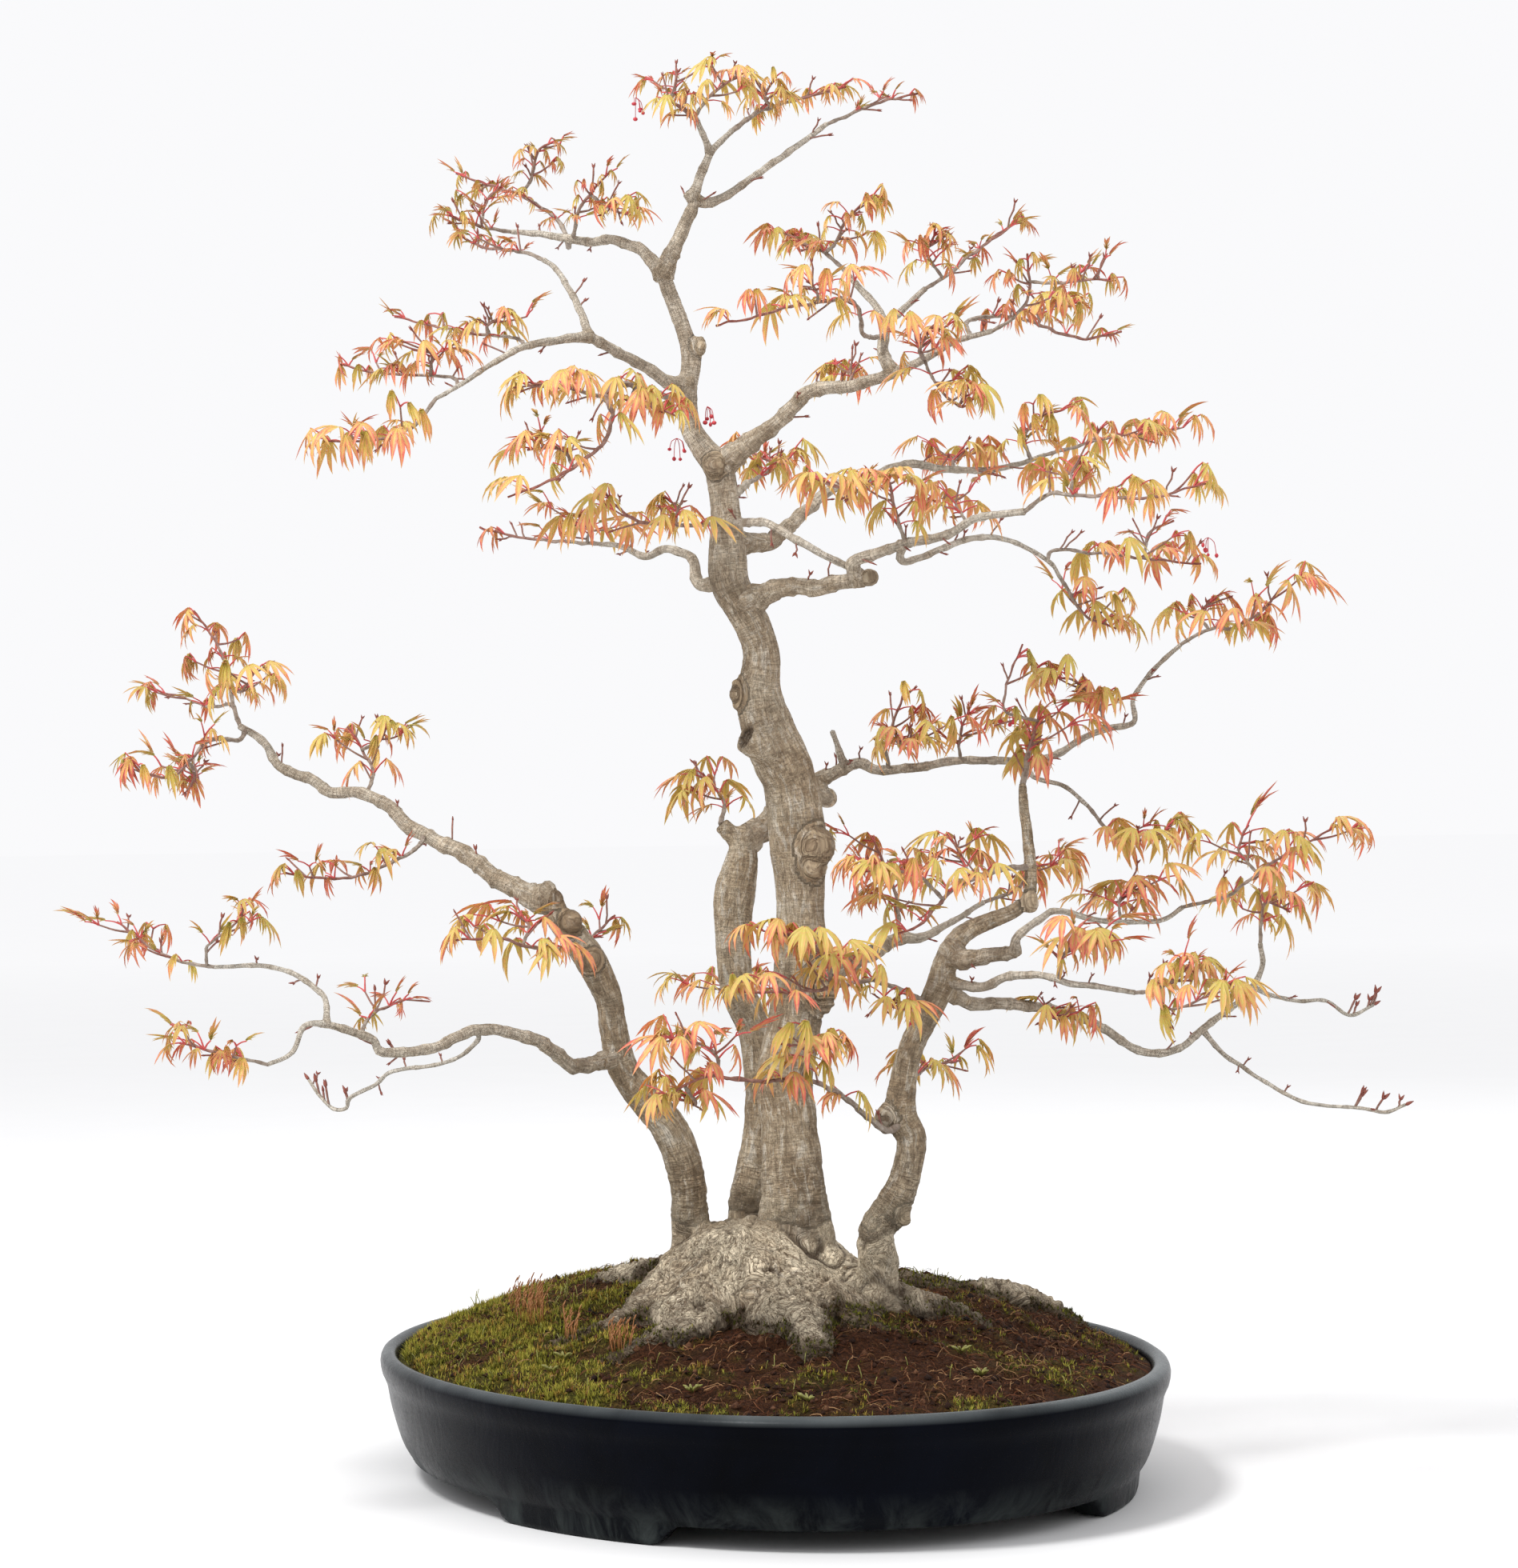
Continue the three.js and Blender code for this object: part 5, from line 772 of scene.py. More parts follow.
class Graph:
    """The nodes of one material."""

    def __init__(self, name):
        self.material = bpy.data.materials.new(name)
        self.material.use_nodes = True
        self.tree = self.material.node_tree

    def put(self, socket, value):
        """Links a value to a socket, or sets a number or colour on it."""
        if isinstance(value, Value):
            self.tree.links.new(value.socket, socket)
        elif isinstance(value, tuple) and len(value) == 3 and len(socket.default_value) == 4:
            socket.default_value = (*value, 1)
        else:
            socket.default_value = value

    def node(self, kind, values, out=0, **settings):
        """Adds a node and gives one of its outputs."""
        node = self.tree.nodes.new(kind)
        for key, value in settings.items():
            setattr(node, key, value)
        for key, value in values.items():
            self.put(node.inputs[key], value)
        return Value(self, node.outputs[out])

    def read(self, name):
        """An attribute of the mesh."""
        return self.node("ShaderNodeAttribute", {}, 1, attribute_name=name)

    def place(self):
        """Position in mm."""
        position = self.node("ShaderNodeNewGeometry", {})
        return self.node("ShaderNodeVectorMath", {0: position, 3: 1 / MM}, operation="SCALE")

    def finish(self, *layers, **values):
        """Sets the shader's inputs, with bumps from layers of height and depth in mm."""
        normal = {}
        for height, depth in layers:
            normal = {"Normal": self.node("ShaderNodeBump", {
                "Height": height, "Distance": depth * MM, "Strength": 1.0, **normal})}
        for key, value in {**values, **normal}.items():
            label = key.replace("_", " ").title().replace("Ior", "IOR")
            self.put(self.tree.nodes["Principled BSDF"].inputs[label], value)
        return self.material


def bark_material():
    """Tan to grey bark: paler with height, rougher on the root base, with painted shade in its folds and
    valleys. Marks: hollow (painted shade in creases, pits and rings, with dirt near the soil and stained stub
    faces), thin, base.
    """
    g = Graph("bark")
    grain, (hollow, thin, base) = g.read("grain"), g.read("mark").parts()
    patches = grain.cloud(0.04, 6, 0.62, 0.5)
    speckle = grain.cloud(0.8, 5, 0.7)
    streaks = grain.cloud((0.24, 0.24, 0.07), 6, 0.72, 0.7)
    blotches = grain.cloud(0.021, 5, 0.66, 0.8)
    stains = grain.cloud(0.028, 4, 0.6)
    pores = grain.cells((0.17, 0.17, 0.5))
    cracks = grain.cloud((0.85, 0.85, 0.07), 4, 0.6, 0.8).vein(0.035, 0.6)
    foot = (g.place().parts()[2] * (1 / FOLD_FADE)).ramp((0.37, 1.0), (0.47, 0.3)).max(thin * -1.0)
    # Folds: painted shade along the bumped wrinkles across the trunks near the root base
    folds = grain.cloud((0.08, 0.08, 0.55), 4, 0.6, 0.7).vein(0.05) * (1.0 - base) * foot
    hairlines = grain.cloud((0.7, 0.7, 0.62), 3, 0.6, 1.5).vein(0.04, 0.6)
    # Valleys: painted shade in the bumped wrinkles and hairlines of the root base
    valleys = grain.cloud((0.34, 0.34, 0.3), 3, 0.55, 1.2).vein(0.037).max(hairlines) * base
    stout = 1.0 - thin.max(0.0) * 0.85
    old = patches.ramp((0.28, (0.24, 0.17, 0.1)), (0.42, (0.42, 0.315, 0.2)), (0.56, (0.56, 0.45, 0.31)),
                       (0.72, (0.66, 0.57, 0.43)))
    new = patches.ramp((0.3, (0.4, 0.335, 0.255)), (0.5, (0.58, 0.53, 0.45)), (0.7, (0.72, 0.69, 0.61)))
    colour = old.under(
        (thin, new),
        (speckle.ramp((0.36, 0.4), (0.56, 0.0)) * stout, (0.22, 0.165, 0.115)),
        (streaks.ramp((0.36, 0.62), (0.48, 0.0)) * stout, (0.15, 0.105, 0.065)),
        (streaks.ramp((0.51, 0.0), (0.64, 0.8)) * stout, (0.76, 0.7, 0.59)),
        (blotches.ramp((0.5, 0.0), (0.64, 0.55)) * stout, (0.17, 0.135, 0.09)),
        (cracks, (0.2, 0.145, 0.1)),
        (folds * 0.8, (0.17, 0.115, 0.07)),
        (pores.ramp((0.06, 0.7), (0.12, 0.0)), (0.7, 0.63, 0.52)),
        (patches.ramp((0.36, 0.3), (0.56, 0.95)) * base, (0.84, 0.73, 0.54)),
        (stains.ramp((0.48, 0.0), (0.64, 0.5)) * base, (0.34, 0.225, 0.12)),
        (valleys * 0.85, (0.15, 0.09, 0.045)),
        # Painted shade from the hollow mark, which also holds dirt near the soil and stained stub faces
        (hollow, (0.04, 0.019, 0.008)))
    return g.finish(
        (valleys * -1.0, 0.9), (folds * -1.0, 0.8), (cracks * -1.0, 0.25),
        (pores.ramp((0.06, 1.0), (0.14, 0.0)), 0.25), (streaks * stout, 1.6), (speckle, 0.22),
        base_color=colour, roughness=0.84, specular_ior_level=0.22)


def leaf_material(name, colours, vein):
    """Leaf blade: first colour along the ribs, warmer to the edge and tip. Marks: share, side, chance."""
    g = Graph(name)
    grain, (share, side, chance) = g.read("grain"), g.read("mark").parts()
    blotch = grain.cloud(0.25, 4, 0.6)
    nerves = grain.cloud((1.3, 0.5, 0.5), 3, 0.5)
    warm = share * 0.5 + side * 0.42 + (chance - 0.5) * 0.6 + (blotch - 0.5) * 0.8
    colour = warm.ramp(*zip((0.18, 0.45, 0.68, 0.9), colours)).under(
        (side.ramp((0.0, 0.75), (0.22, 0.0)), vein), (nerves.ramp((0.38, 0.25), (0.58, 0.0)), colours[2]))
    return g.finish(
        (nerves, 0.15), (side, 0.2), base_color=colour, roughness=blotch.ramp((0.3, 0.4), (0.7, 0.58)),
        specular_ior_level=0.35, subsurface_weight=0.25, subsurface_radius=(1.0, 0.6, 0.2),
        subsurface_scale=0.001)


def stalk_material(name, low, high):
    """Mottled colour with fine ridges."""
    g = Graph(name)
    grain = g.read("grain")
    return g.finish((grain.cloud((1.5, 1.5, 0.45), 3), 0.1), roughness=0.5,
                    base_color=grain.cloud(0.35, 4, 0.6).ramp((0.3, low), (0.7, high)))


def twig_material():
    """Young wood: grey-brown where it is old, red-brown towards the tip. Marks: tip."""
    g = Graph("twig")
    grain, tip = g.read("grain"), g.read("mark").parts()[0]
    tone = grain.cloud(0.3, 4, 0.6)
    old = tone.ramp((0.3, (0.15, 0.105, 0.075)), (0.7, (0.4, 0.34, 0.28)))
    new = tone.ramp((0.3, (0.15, 0.03, 0.025)), (0.7, (0.34, 0.1, 0.06)))
    return g.finish((grain.cloud((1.2, 1.2, 0.3), 4), 0.3), roughness=0.62,
                    base_color=old.under((tip, new)))


def glaze_material():
    """Blue-black glaze with a painted highlight along the top of the rim, and chalky runs near the foot."""
    g = Graph("glaze")
    at = g.place()
    level = at.parts()[2] * (1 / POT_HEIGHT)
    cloud, fine = at.cloud(0.02, 6, 0.6, 0.5), at.cloud(0.5, 5, 0.65)
    # Painted highlight along the top of the rim, in large patches
    rim_highlight_patches = at.cloud(0.006, 5, 0.6).ramp((0.34, 0.15), (0.66, 0.85))
    rim_highlight = level.ramp((0.93, 0.0), (0.99, 1.0)) * rim_highlight_patches
    runs = at.cloud((0.05, 0.05, 0.013), 6, 0.68, 0.9).ramp((0.42, 0.05), (0.7, 0.8))
    chalk = level.ramp((0.06, 1.0), (0.22, 0.55), (0.45, 0.0)) * runs
    deep = cloud.ramp((0.3, (0.0006, 0.0008, 0.0016)), (0.7, (0.0015, 0.0022, 0.005)))
    return g.finish(
        (cloud, 0.8), (fine, 0.05), specular_ior_level=0.035,
        base_color=deep.under((rim_highlight * 0.6, (0.2, 0.225, 0.23)), (chalk, (0.06, 0.07, 0.067))),
        roughness=fine.ramp((0.3, 0.2), (0.7, 0.33)) + chalk * 0.5)


def soil_material():
    """Dark red-brown earth, greener where moss lies, with painted shade in its low spots. Marks: moss,
    hollow.
    """
    g = Graph("soil")
    at, (moss, hollow, _) = g.place(), g.read("mark").parts()
    crumbs = at.cloud(0.6, 8, 0.78)
    threads = at.cloud((0.8, 0.3, 0.5), 5, 0.7, 2.5)
    earth = crumbs.ramp((0.34, (0.006, 0.002, 0.0012)), (0.5, (0.036, 0.0125, 0.005)),
                        (0.64, (0.12, 0.046, 0.018)))
    green = crumbs.ramp((0.34, (0.012, 0.014, 0.003)), (0.5, (0.075, 0.075, 0.012)),
                        (0.66, (0.26, 0.22, 0.04)))
    # hollow: painted shade in the soil's low spots
    colour = earth.under((threads.vein(0.03, 0.6), (0.17, 0.065, 0.025)), (moss * 0.85, green),
                         (hollow * 0.85, (0.006, 0.004, 0.003)))
    return g.finish((crumbs, 2.2), (at.cells((0.4, 0.4, 0.4)), 1.0), (threads, 0.6),
                    base_color=colour, roughness=0.95, specular_ior_level=0.15)


def tuft_material():
    """Moss blades from dark green to yellow, some brown. Marks: chance, tip."""
    g = Graph("moss")
    chance, tip, _ = g.read("mark").parts()
    base = chance.ramp((0.0, (0.09, 0.05, 0.018)), (0.2, (0.07, 0.085, 0.01)), (0.5, (0.25, 0.25, 0.025)),
                       (0.8, (0.52, 0.46, 0.07)), (1.0, (0.45, 0.22, 0.05)))
    return g.finish(base_color=base.under((tip.ramp((0.0, 0.75), (0.8, 0.0)), (0.03, 0.028, 0.006))),
                    roughness=0.75, specular_ior_level=0.2)


def thread_material(name, *stops):
    """Colour by chance with fine mottling. Marks: chance."""
    g = Graph(name)
    tone = g.read("grain").cloud(0.8, 4, 0.6)
    mixed = g.read("mark").parts()[0] + (tone - 0.5) * 0.8
    return g.finish((tone, 0.3), base_color=mixed.ramp(*stops), roughness=0.85, specular_ior_level=0.2)


def build_pot():
    """Glazed pot: a ring of its oval for each point of the profile, from the feet round to the floor."""
    turns = full_turn(POT_SIDES)
    off = np.abs((turns[:, None] - FOOT_MIDDLES + math.pi) % (2 * math.pi) - math.pi).min(axis=1)
    foot = np.clip((FOOT_HALF_ANGLE - off) / FOOT_END_SLOPE, 0, 1)
    foot = foot * foot * (3 - 2 * foot)
    gap = 1 - foot
    low = FOOT_HEIGHT * gap
    rows = [
        (46, FOOT_HEIGHT), (45, FOOT_HEIGHT - 0.6 * foot), (44.3, low + 1.2 * foot), (43, low), (35, low),
        (28, low), (25.5 - 1.5 * gap, low + 0.25), (24.4 - 1.4 * gap, low + 0.9),
        (23.4 - 1.2 * gap, low + 2.6 * foot + 0.9), *smooth(np.array(POT_WALL), WALL_STEP)]
    rings = [oval(turns, inset, height) for inset, height in rows]
    shape = Shape()
    shape.add(np.vstack([*rings, UP * FOOT_HEIGHT, UP * FLOOR_TOP]), ring_triangles(len(rings), POT_SIDES))
    shape.show("pot_glazed", [glaze_material()], "glaze", "pot")


def moss_share(points):
    """How much moss lies at flat points: the left and front left, with patches elsewhere."""
    field = bumps(points, 0.022, 3.1) + 0.6 * bumps(points, 0.06, 7.7) + 0.3 * bumps(points, 0.15, 2.7)
    lean = -(points[:, 0] + 75) / 70 + 0.25 * np.clip(-points[:, 1] / 150, -1, 1)
    return np.clip(0.35 + 0.55 * np.clip(lean, -0.6, 1) + 0.8 * field, 0, 1)


def ground(x, y):
    """Height of the dressed ground, moss share, relief and share of the way from the middle to the edge."""
    points = np.stack([x, y, 0 * x], 1)
    moss = moss_share(points)
    relief = sum(high * bumps(points, scale, shift) for high, scale, shift in SOIL_RELIEF)
    cushions = moss * (2 + 2.2 * np.abs(bumps(points, 0.09, 4.9)))
    share = oval_share(x, y, SOIL_INSET, WIDTH_INSET_SHARE * SOIL_INSET)
    edge = np.clip((1 - share) / 0.06, 0, 1)
    away = np.hypot(x - BASE_MIDDLE[0], y - BASE_MIDDLE[1])
    creep = 4.5 * np.clip(0.5 + 1.6 * bumps(points, 0.035, 8.8), 0, 1) * np.exp(-((away - 112) / 26) ** 2)
    height = soil_height(x, y) + relief * (0.2 + 0.8 * edge) + (cushions + creep) * edge
    return height, moss, relief, share


def build_soil():
    """Mound of soil in the pot."""
    turns = full_turn(SOIL_SIDES)
    sides = [oval(turns, inset, height) for inset, height in SOIL_WALL]
    top = np.vstack([oval(turns, SOIL_INSET, 0, share) for share in SOIL_SHARES])
    top[:, 2], moss, relief, _ = ground(top[:, 0], top[:, 1])
    corners = np.vstack([*sides, top, UP * SOIL_BOTTOM, UP * soil_height(0.0, 0.0)])
    marks = np.zeros((len(corners), 3))
    # Second mark: painted shade where the relief dips
    marks[-2 - len(top):-2, :2] = np.stack([moss, np.clip(-relief / 3.5, 0, 1)], 1)
    shape = Shape()
    shape.add(corners, ring_triangles(len(SOIL_WALL) + len(SOIL_SHARES), SOIL_SIDES), mark=marks)
    shape.show("soil_ground", [soil_material()], "soil", "soil")


def scatter(chance, count):
    """Places drawn evenly over the pot's oval, with their shares of moss and of the way to the edge."""
    reach, turn = np.sqrt(chance.uniform(0.0, 1.0, count)), chance.uniform(0, 2 * math.pi, count)
    spots = oval(turn, SOIL_INSET + 1, 0, reach)
    spots[:, 2], moss, _, share = ground(spots[:, 0], spots[:, 1])
    return spots, moss, share


def add_tufts(shape, chance, spots, moss, tone):
    """Adds small tufts of pointed blades."""
    size = (len(spots), TUFT_BLADES)
    out = pointing(chance.uniform(0, 2 * math.pi, size))
    lean = chance.uniform(0.15, 1.1, size)[..., None]
    tall = chance.uniform(1.6, 4.6, size) * (0.7 + 0.6 * moss[:, None])
    side = left_of(out) * chance.uniform(0.25, 0.5, size)[..., None]
    root = spots[:, None] - 0.5 * UP + out * 0.25
    tips = root + (out * np.sin(lean) + UP * np.cos(lean)) * tall[..., None]
    corners = np.stack([root - side, root + side, tips], 2).reshape(-1, 3)
    marks = np.zeros((*size, 3, 3))
    marks[..., 0] = np.clip(tone, 0, 1)[:, None, None]
    marks[..., 2, 1] = 1
    shape.add(corners, np.arange(len(corners)).reshape(-1, 3), mark=marks.reshape(-1, 3))


def build_moss(base_spots):
    """Moss on the soil, with sparse and browner tufts on the root base."""
    chance = np.random.default_rng(11)
    spots, moss, share = scatter(chance, MOSS_TUFTS)
    keep = (chance.uniform(0, 1, len(spots)) < moss**1.5 * 1.1) & (share < MOSS_EDGE)
    spots, moss = spots[keep], moss[keep]
    shape = Shape()
    tone = chance.normal(0.64, 0.2, len(spots)) + 0.25 * bumps(spots, 0.05, 6.2)
    add_tufts(shape, chance, spots, moss, tone)
    tone = chance.normal(0.24, 0.2, len(base_spots)) + 0.3 * bumps(base_spots, 0.04, 1.2)
    add_tufts(shape, chance, base_spots, np.full(len(base_spots), BASE_MOSS), tone)
    shape.show("moss", [tuft_material()], "soil")


def on_soil(x, y):
    """Where a point of the drawing meets the ground, or nothing where it misses the ground."""
    spots = place([[x, y, depth] for depth in np.linspace(-290, 290, 580)])
    height, _, _, share = ground(spots[:, 0], spots[:, 1])
    return spots[(spots[:, 2] <= height) & (share < GROWTH_EDGE)][:1]


def roots_in(patch, chance):
    """Places on the ground within a patch of the drawing."""
    left, top, right, bottom, count = patch[:5]
    for _ in range(count):
        yield from on_soil(chance.uniform(left, right), chance.uniform(top, bottom))


def add_threads(shape, chance):
    """Adds flat root threads that wander over the ground."""
    spots, moss, share = scatter(chance, THREADS)
    spots = spots[(share < THREAD_EDGE) & (chance.uniform(0, 1, THREADS) > 0.7 * moss)]
    count, rings = len(spots), THREAD_STEPS + 1
    turn = chance.uniform(0, 2 * math.pi, (count, 1))
    turn = turn + np.cumsum(chance.uniform(-0.8, 0.8, (count, THREAD_STEPS)), 1)
    step = chance.uniform(1.2, 3.4, (count, 1, 1)) * pointing(turn)
    line = spots[:, None] + np.concatenate([np.zeros((count, 1, 3)), np.cumsum(step, 1)], 1)
    lift = chance.uniform(0, 3.6, (count, 1)) * np.sin(math.pi * np.linspace(0, 1, rings))
    line[..., 2] = ground(line[..., 0].ravel(), line[..., 1].ravel())[0].reshape(count, -1) + lift + 0.2
    line[:, [0, -1], 2] -= 1
    side = left_of(pointing(turn[:, 0], chance.uniform(0.3, 1.3, count)))
    half = chance.uniform(0.12, 0.34, (count, 1)) * np.linspace(1, 0.5, rings)
    off = side[:, None] * half[..., None]
    corners = np.stack([line - off, line + off], 2).reshape(-1, 3)
    first = np.add.outer(np.arange(count) * 2 * rings, 2 * np.arange(THREAD_STEPS)).ravel()
    triangles = np.stack([first, first + 1, first + 3, first, first + 3, first + 2], 1).reshape(-1, 3)
    tone = np.repeat(chance.uniform(0, 1, count), 2 * rings)
    shape.add(corners, triangles, THREAD, mark=np.outer(tone, [1, 0, 0]))


def add_crumbs(shape, chance):
    """Adds lumps of eight faces that lie on the ground."""
    form = np.array([[1, 0, 0], [0, 1, 0], [-1, 0, 0], [0, -1, 0], [0, 0, 0.8], [0, 0, -0.8]])
    triangles = [(0, 1, 4), (1, 2, 4), (2, 3, 4), (3, 0, 4), (1, 0, 5), (2, 1, 5), (3, 2, 5), (0, 3, 5)]
    spots, _, share = scatter(chance, CRUMBS)
    for spot in spots[share <= GROWTH_EDGE]:
        size = chance.uniform(0.4, 1.0) ** 2 * 3.2 * chance.uniform(0.6, 1.3, (len(form), 1))
        shape.add(form * size * chance.uniform(0.6, 1.2, 3) + spot + 0.2 * UP, triangles, CRUMB,
                  mark=(chance.uniform(), 0, 0))


def add_fruit(shape, chance, root):
    """Adds a moss stalk with its pod."""
    lean = chance.uniform(-0.25, 0.25, 2)
    tip = root + chance.uniform(8, 15) * np.array([*lean, 1])
    shape.tube(np.column_stack([[root - UP, (root + tip) / 2, tip], [0.2, 0.17, 0.15]]), 3, FRUIT)
    pod = tip + [[0, 0, 0], [0.3, 0, 0.8], [0.9, 0, 2], [1.3, 0, 2.9]]
    shape.tube(np.column_stack([pod, [0.15, 0.42, 0.38, 0.1]]), 5, FRUIT)


def add_blade(shape, root, turn, out, up, radii, count):
    """Adds a blade of grass or a small leaf by how far it reaches out and up."""
    line = root + np.outer(out, pointing(turn)) + np.outer(up, UP)
    shape.tube(np.column_stack([line, radii]), count, GRASS)


def build_litter():
    """Root threads, crumbs, moss fruit, grass and small weeds."""
    chance = np.random.default_rng(23)
    shape = Shape()
    add_threads(shape, chance)
    add_crumbs(shape, chance)
    for patch in FRUIT_PATCHES:
        for root in roots_in(patch, chance):
            add_fruit(shape, chance, root)
    for patch in GRASS_PATCHES:
        for root in roots_in(patch, chance):
            turn, lean = chance.uniform(0, 2 * math.pi), chance.uniform(0.1, 0.7)
            tall, shares = chance.uniform(*patch[5:]), np.array([0, 0.35, 0.7, 1])
            add_blade(shape, root, turn, tall * lean * shares**2, tall * shares - 1,
                      [0.3, 0.28, 0.2, 0.1], 3)
    for x, y in WEEDS:
        root = on_soil(x, y)[0]
        for k in range(WEED_LEAVES):
            tall, shares = 4 + 4 * draw(x + k, 1), np.array([0, 0.4, 0.75, 1])
            add_blade(shape, root, 0.9 * k, tall * 0.8 * shares, tall * (shares - 0.4 * shares**2),
                      [0.35, 0.9, 0.8, 0.25], 4)
    shape.show("litter", [
        thread_material("root_thread", (0.0, (0.04, 0.013, 0.006)), (0.7, (0.13, 0.045, 0.018)),
                        (1.0, (0.36, 0.21, 0.1))),
        thread_material("crumb", (0.0, (0.008, 0.003, 0.002)), (0.8, (0.05, 0.018, 0.008)),
                        (1.0, (0.13, 0.06, 0.03))),
        stalk_material("moss_fruit", (0.24, 0.075, 0.02), (0.42, 0.19, 0.06)),
        stalk_material("grass", (0.14, 0.13, 0.03), (0.36, 0.36, 0.08))], "soil")


def on_limb(limb, x, y, ahead=0):
    """Place of a point of the drawing that lies a distance in front of a limb's middle."""
    return place([[x, y, nearest(routes[limb], x, y)[2] - ahead]])[0]


def knobs():
    """Place and largest reaches of each lump on the limbs."""
    for limb, x, y, ahead, wide, high in KNOBS:
        yield on_limb(limb, x, y, ahead), wide, high


def stubs():
    """Foot, tip and half width of each cut stub."""
    for limb, start, end, ahead, wide in STUBS:
        depth = nearest(routes[limb], *start)[2] - ahead
        yield *place([[*start, depth + ahead / 2], [*end, depth]]), wide


def root_line(points):
    """Centres and radii of a surface root, from inside the root base."""
    x, y, lift, radius = points[0]
    inner = [x * 0.5, y * 0.5 - 20, soil_height(x, y) + lift + 4, radius * 1.2]
    rows = [[x, y, soil_height(x, y) + lift, radius] for x, y, lift, radius in points]
    return smooth(np.array([inner, *rows]), SKIN_STEP)


def wood_core():
    """Overlapping closed forms of the root base, roots, trunks, collars, stubs and knobs."""
    core = Shape()
    levels, turns, rings = smooth(np.array(ROOT_BASE, float), BASE_STEP), full_turn(BASE_SIDES), []
    for height, x, y, wide, deep, ridge in levels:
        lobes = 1 + ridge * (np.cos(5 * turns + 0.8) + 0.5 * np.cos(9 * turns + height / 14))
        rings.append(pointing(turns) * lobes[:, None] * [wide, deep, 0] + [x, y, height])
    ends = [levels[0, [1, 2, 0]], levels[-1, [1, 2, 0]] + 4 * UP]
    core.add(np.vstack([*rings, *ends]), ring_triangles(len(rings), BASE_SIDES))
    for points in ROOTS:
        core.tube(root_line(points), ROOT_SIDES)
    for route in TRUNKS.values():
        core.tube(curve(route, SKIN_STEP), SKIN_SIDES)
    for name, parent, _ in BRANCHES:
        if parent in TRUNKS and name not in BUILT_AS_STUBS:
            line = curve(routes[name], LIMB_STEP)
            line = line[lengths_along(line[:, :3]) < COLLAR_LENGTH]
            out = lengths_along(line[:, :3])
            collar = 0.5 * min(1, 5 / line[0, 3])
            line[:, 3] *= 1 + collar * np.exp(-np.maximum(out - 0.3 * line[0, 3], 0) / 9)
            core.tube(line, ROOT_SIDES)
    for foot, tip, wide in stubs():
        core.tube(smooth(np.column_stack([[foot, tip], [wide * 1.25, wide]]), LIMB_STEP), 16, tip=0.1)
    for centre, wide, high in knobs():
        core.ball(centre, (wide, wide, high))
    return core


def read_rows(items, name, kind=float):
    """One property of all items, by rows of three."""
    values = np.empty(3 * len(items), kind)
    items.foreach_get(name, values)
    return values.reshape(-1, 3)


def skin_of(core):
    """One skin round all forms: corners in mm, triangles and outward directions."""
    mesh = core.mesh("core")
    rough = bpy.data.objects.new("core", mesh)
    bpy.context.scene.collection.objects.link(rough)
    skin = rough.modifiers.new("skin", "REMESH")
    skin.mode, skin.voxel_size = "VOXEL", SKIN_CELL * MM
    ease = rough.modifiers.new("ease", "SMOOTH")
    ease.factor, ease.iterations = 0.5, 3
    bpy.context.view_layer.update()
    made = rough.evaluated_get(bpy.context.evaluated_depsgraph_get()).to_mesh()
    made.calc_loop_triangles()
    corners, outward = read_rows(made.vertices, "co"), read_rows(made.vertices, "normal")
    triangles = read_rows(made.loop_triangles, "vertices", int)
    bpy.data.objects.remove(rough)
    bpy.data.meshes.remove(mesh)
    corners = (corners - POT_MIDDLE) / MM
    shown = corners[:, 2] > soil_height(corners[:, 0], corners[:, 1]) - BURIED
    used, triangles = np.unique(triangles[shown[triangles].any(axis=1)], return_inverse=True)
    return corners[used], triangles.reshape(-1, 3), outward[used]


def wood_rings():
    """Rings of the trunks, then of the roots: count on the trunks, places, radii, directions, lengths."""
    lines = [curve(route, SKIN_STEP) for route in TRUNKS.values()] + [root_line(points) for points in ROOTS]
    frames = [(line[:, :3], line[:, 3], *directions(line[:, :3]), lengths_along(line[:, :3]))
              for line in lines]
    return sum(map(len, lines[:len(TRUNKS)])), *(np.concatenate(group) for group in zip(*frames))


def nearest_rings(corners, centres, radii, trunk_rings):
    """The ring that each corner lies nearest to, and how far it is from the trunks."""
    owner, clear = [], []
    for first in range(0, len(corners), AT_ONCE):
        gap = np.linalg.norm(corners[first:first + AT_ONCE, None] - centres, axis=2) - radii
        owner.append(gap.argmin(axis=1))
        clear.append(gap[:, :trunk_rings].min(axis=1))
    return np.concatenate(owner), np.concatenate(clear)


def trunk_bark(grain, warp, height, radii):
    """Relief of the trunks with folds across them near the root base, and painted shade in the folds'
    valleys.
    """
    near = np.exp(-np.clip(height - FOLD_HEIGHT, 0, None) / 30)
    folds = np.minimum(creases((grain + warp * 5) * [0.035, 0.035, 0.24], 1, 2.2), 0.7)
    relief = 0.05 * radii * bumps(grain, 0.07) + (0.15 + 1.1 * near) * folds + 0.2 * bumps(grain, 0.45, 4.4)
    # The second value is painted shade in the folds' valleys near the root base
    return relief, np.clip(-2.0 * folds * near - 0.35, 0, 0.8)


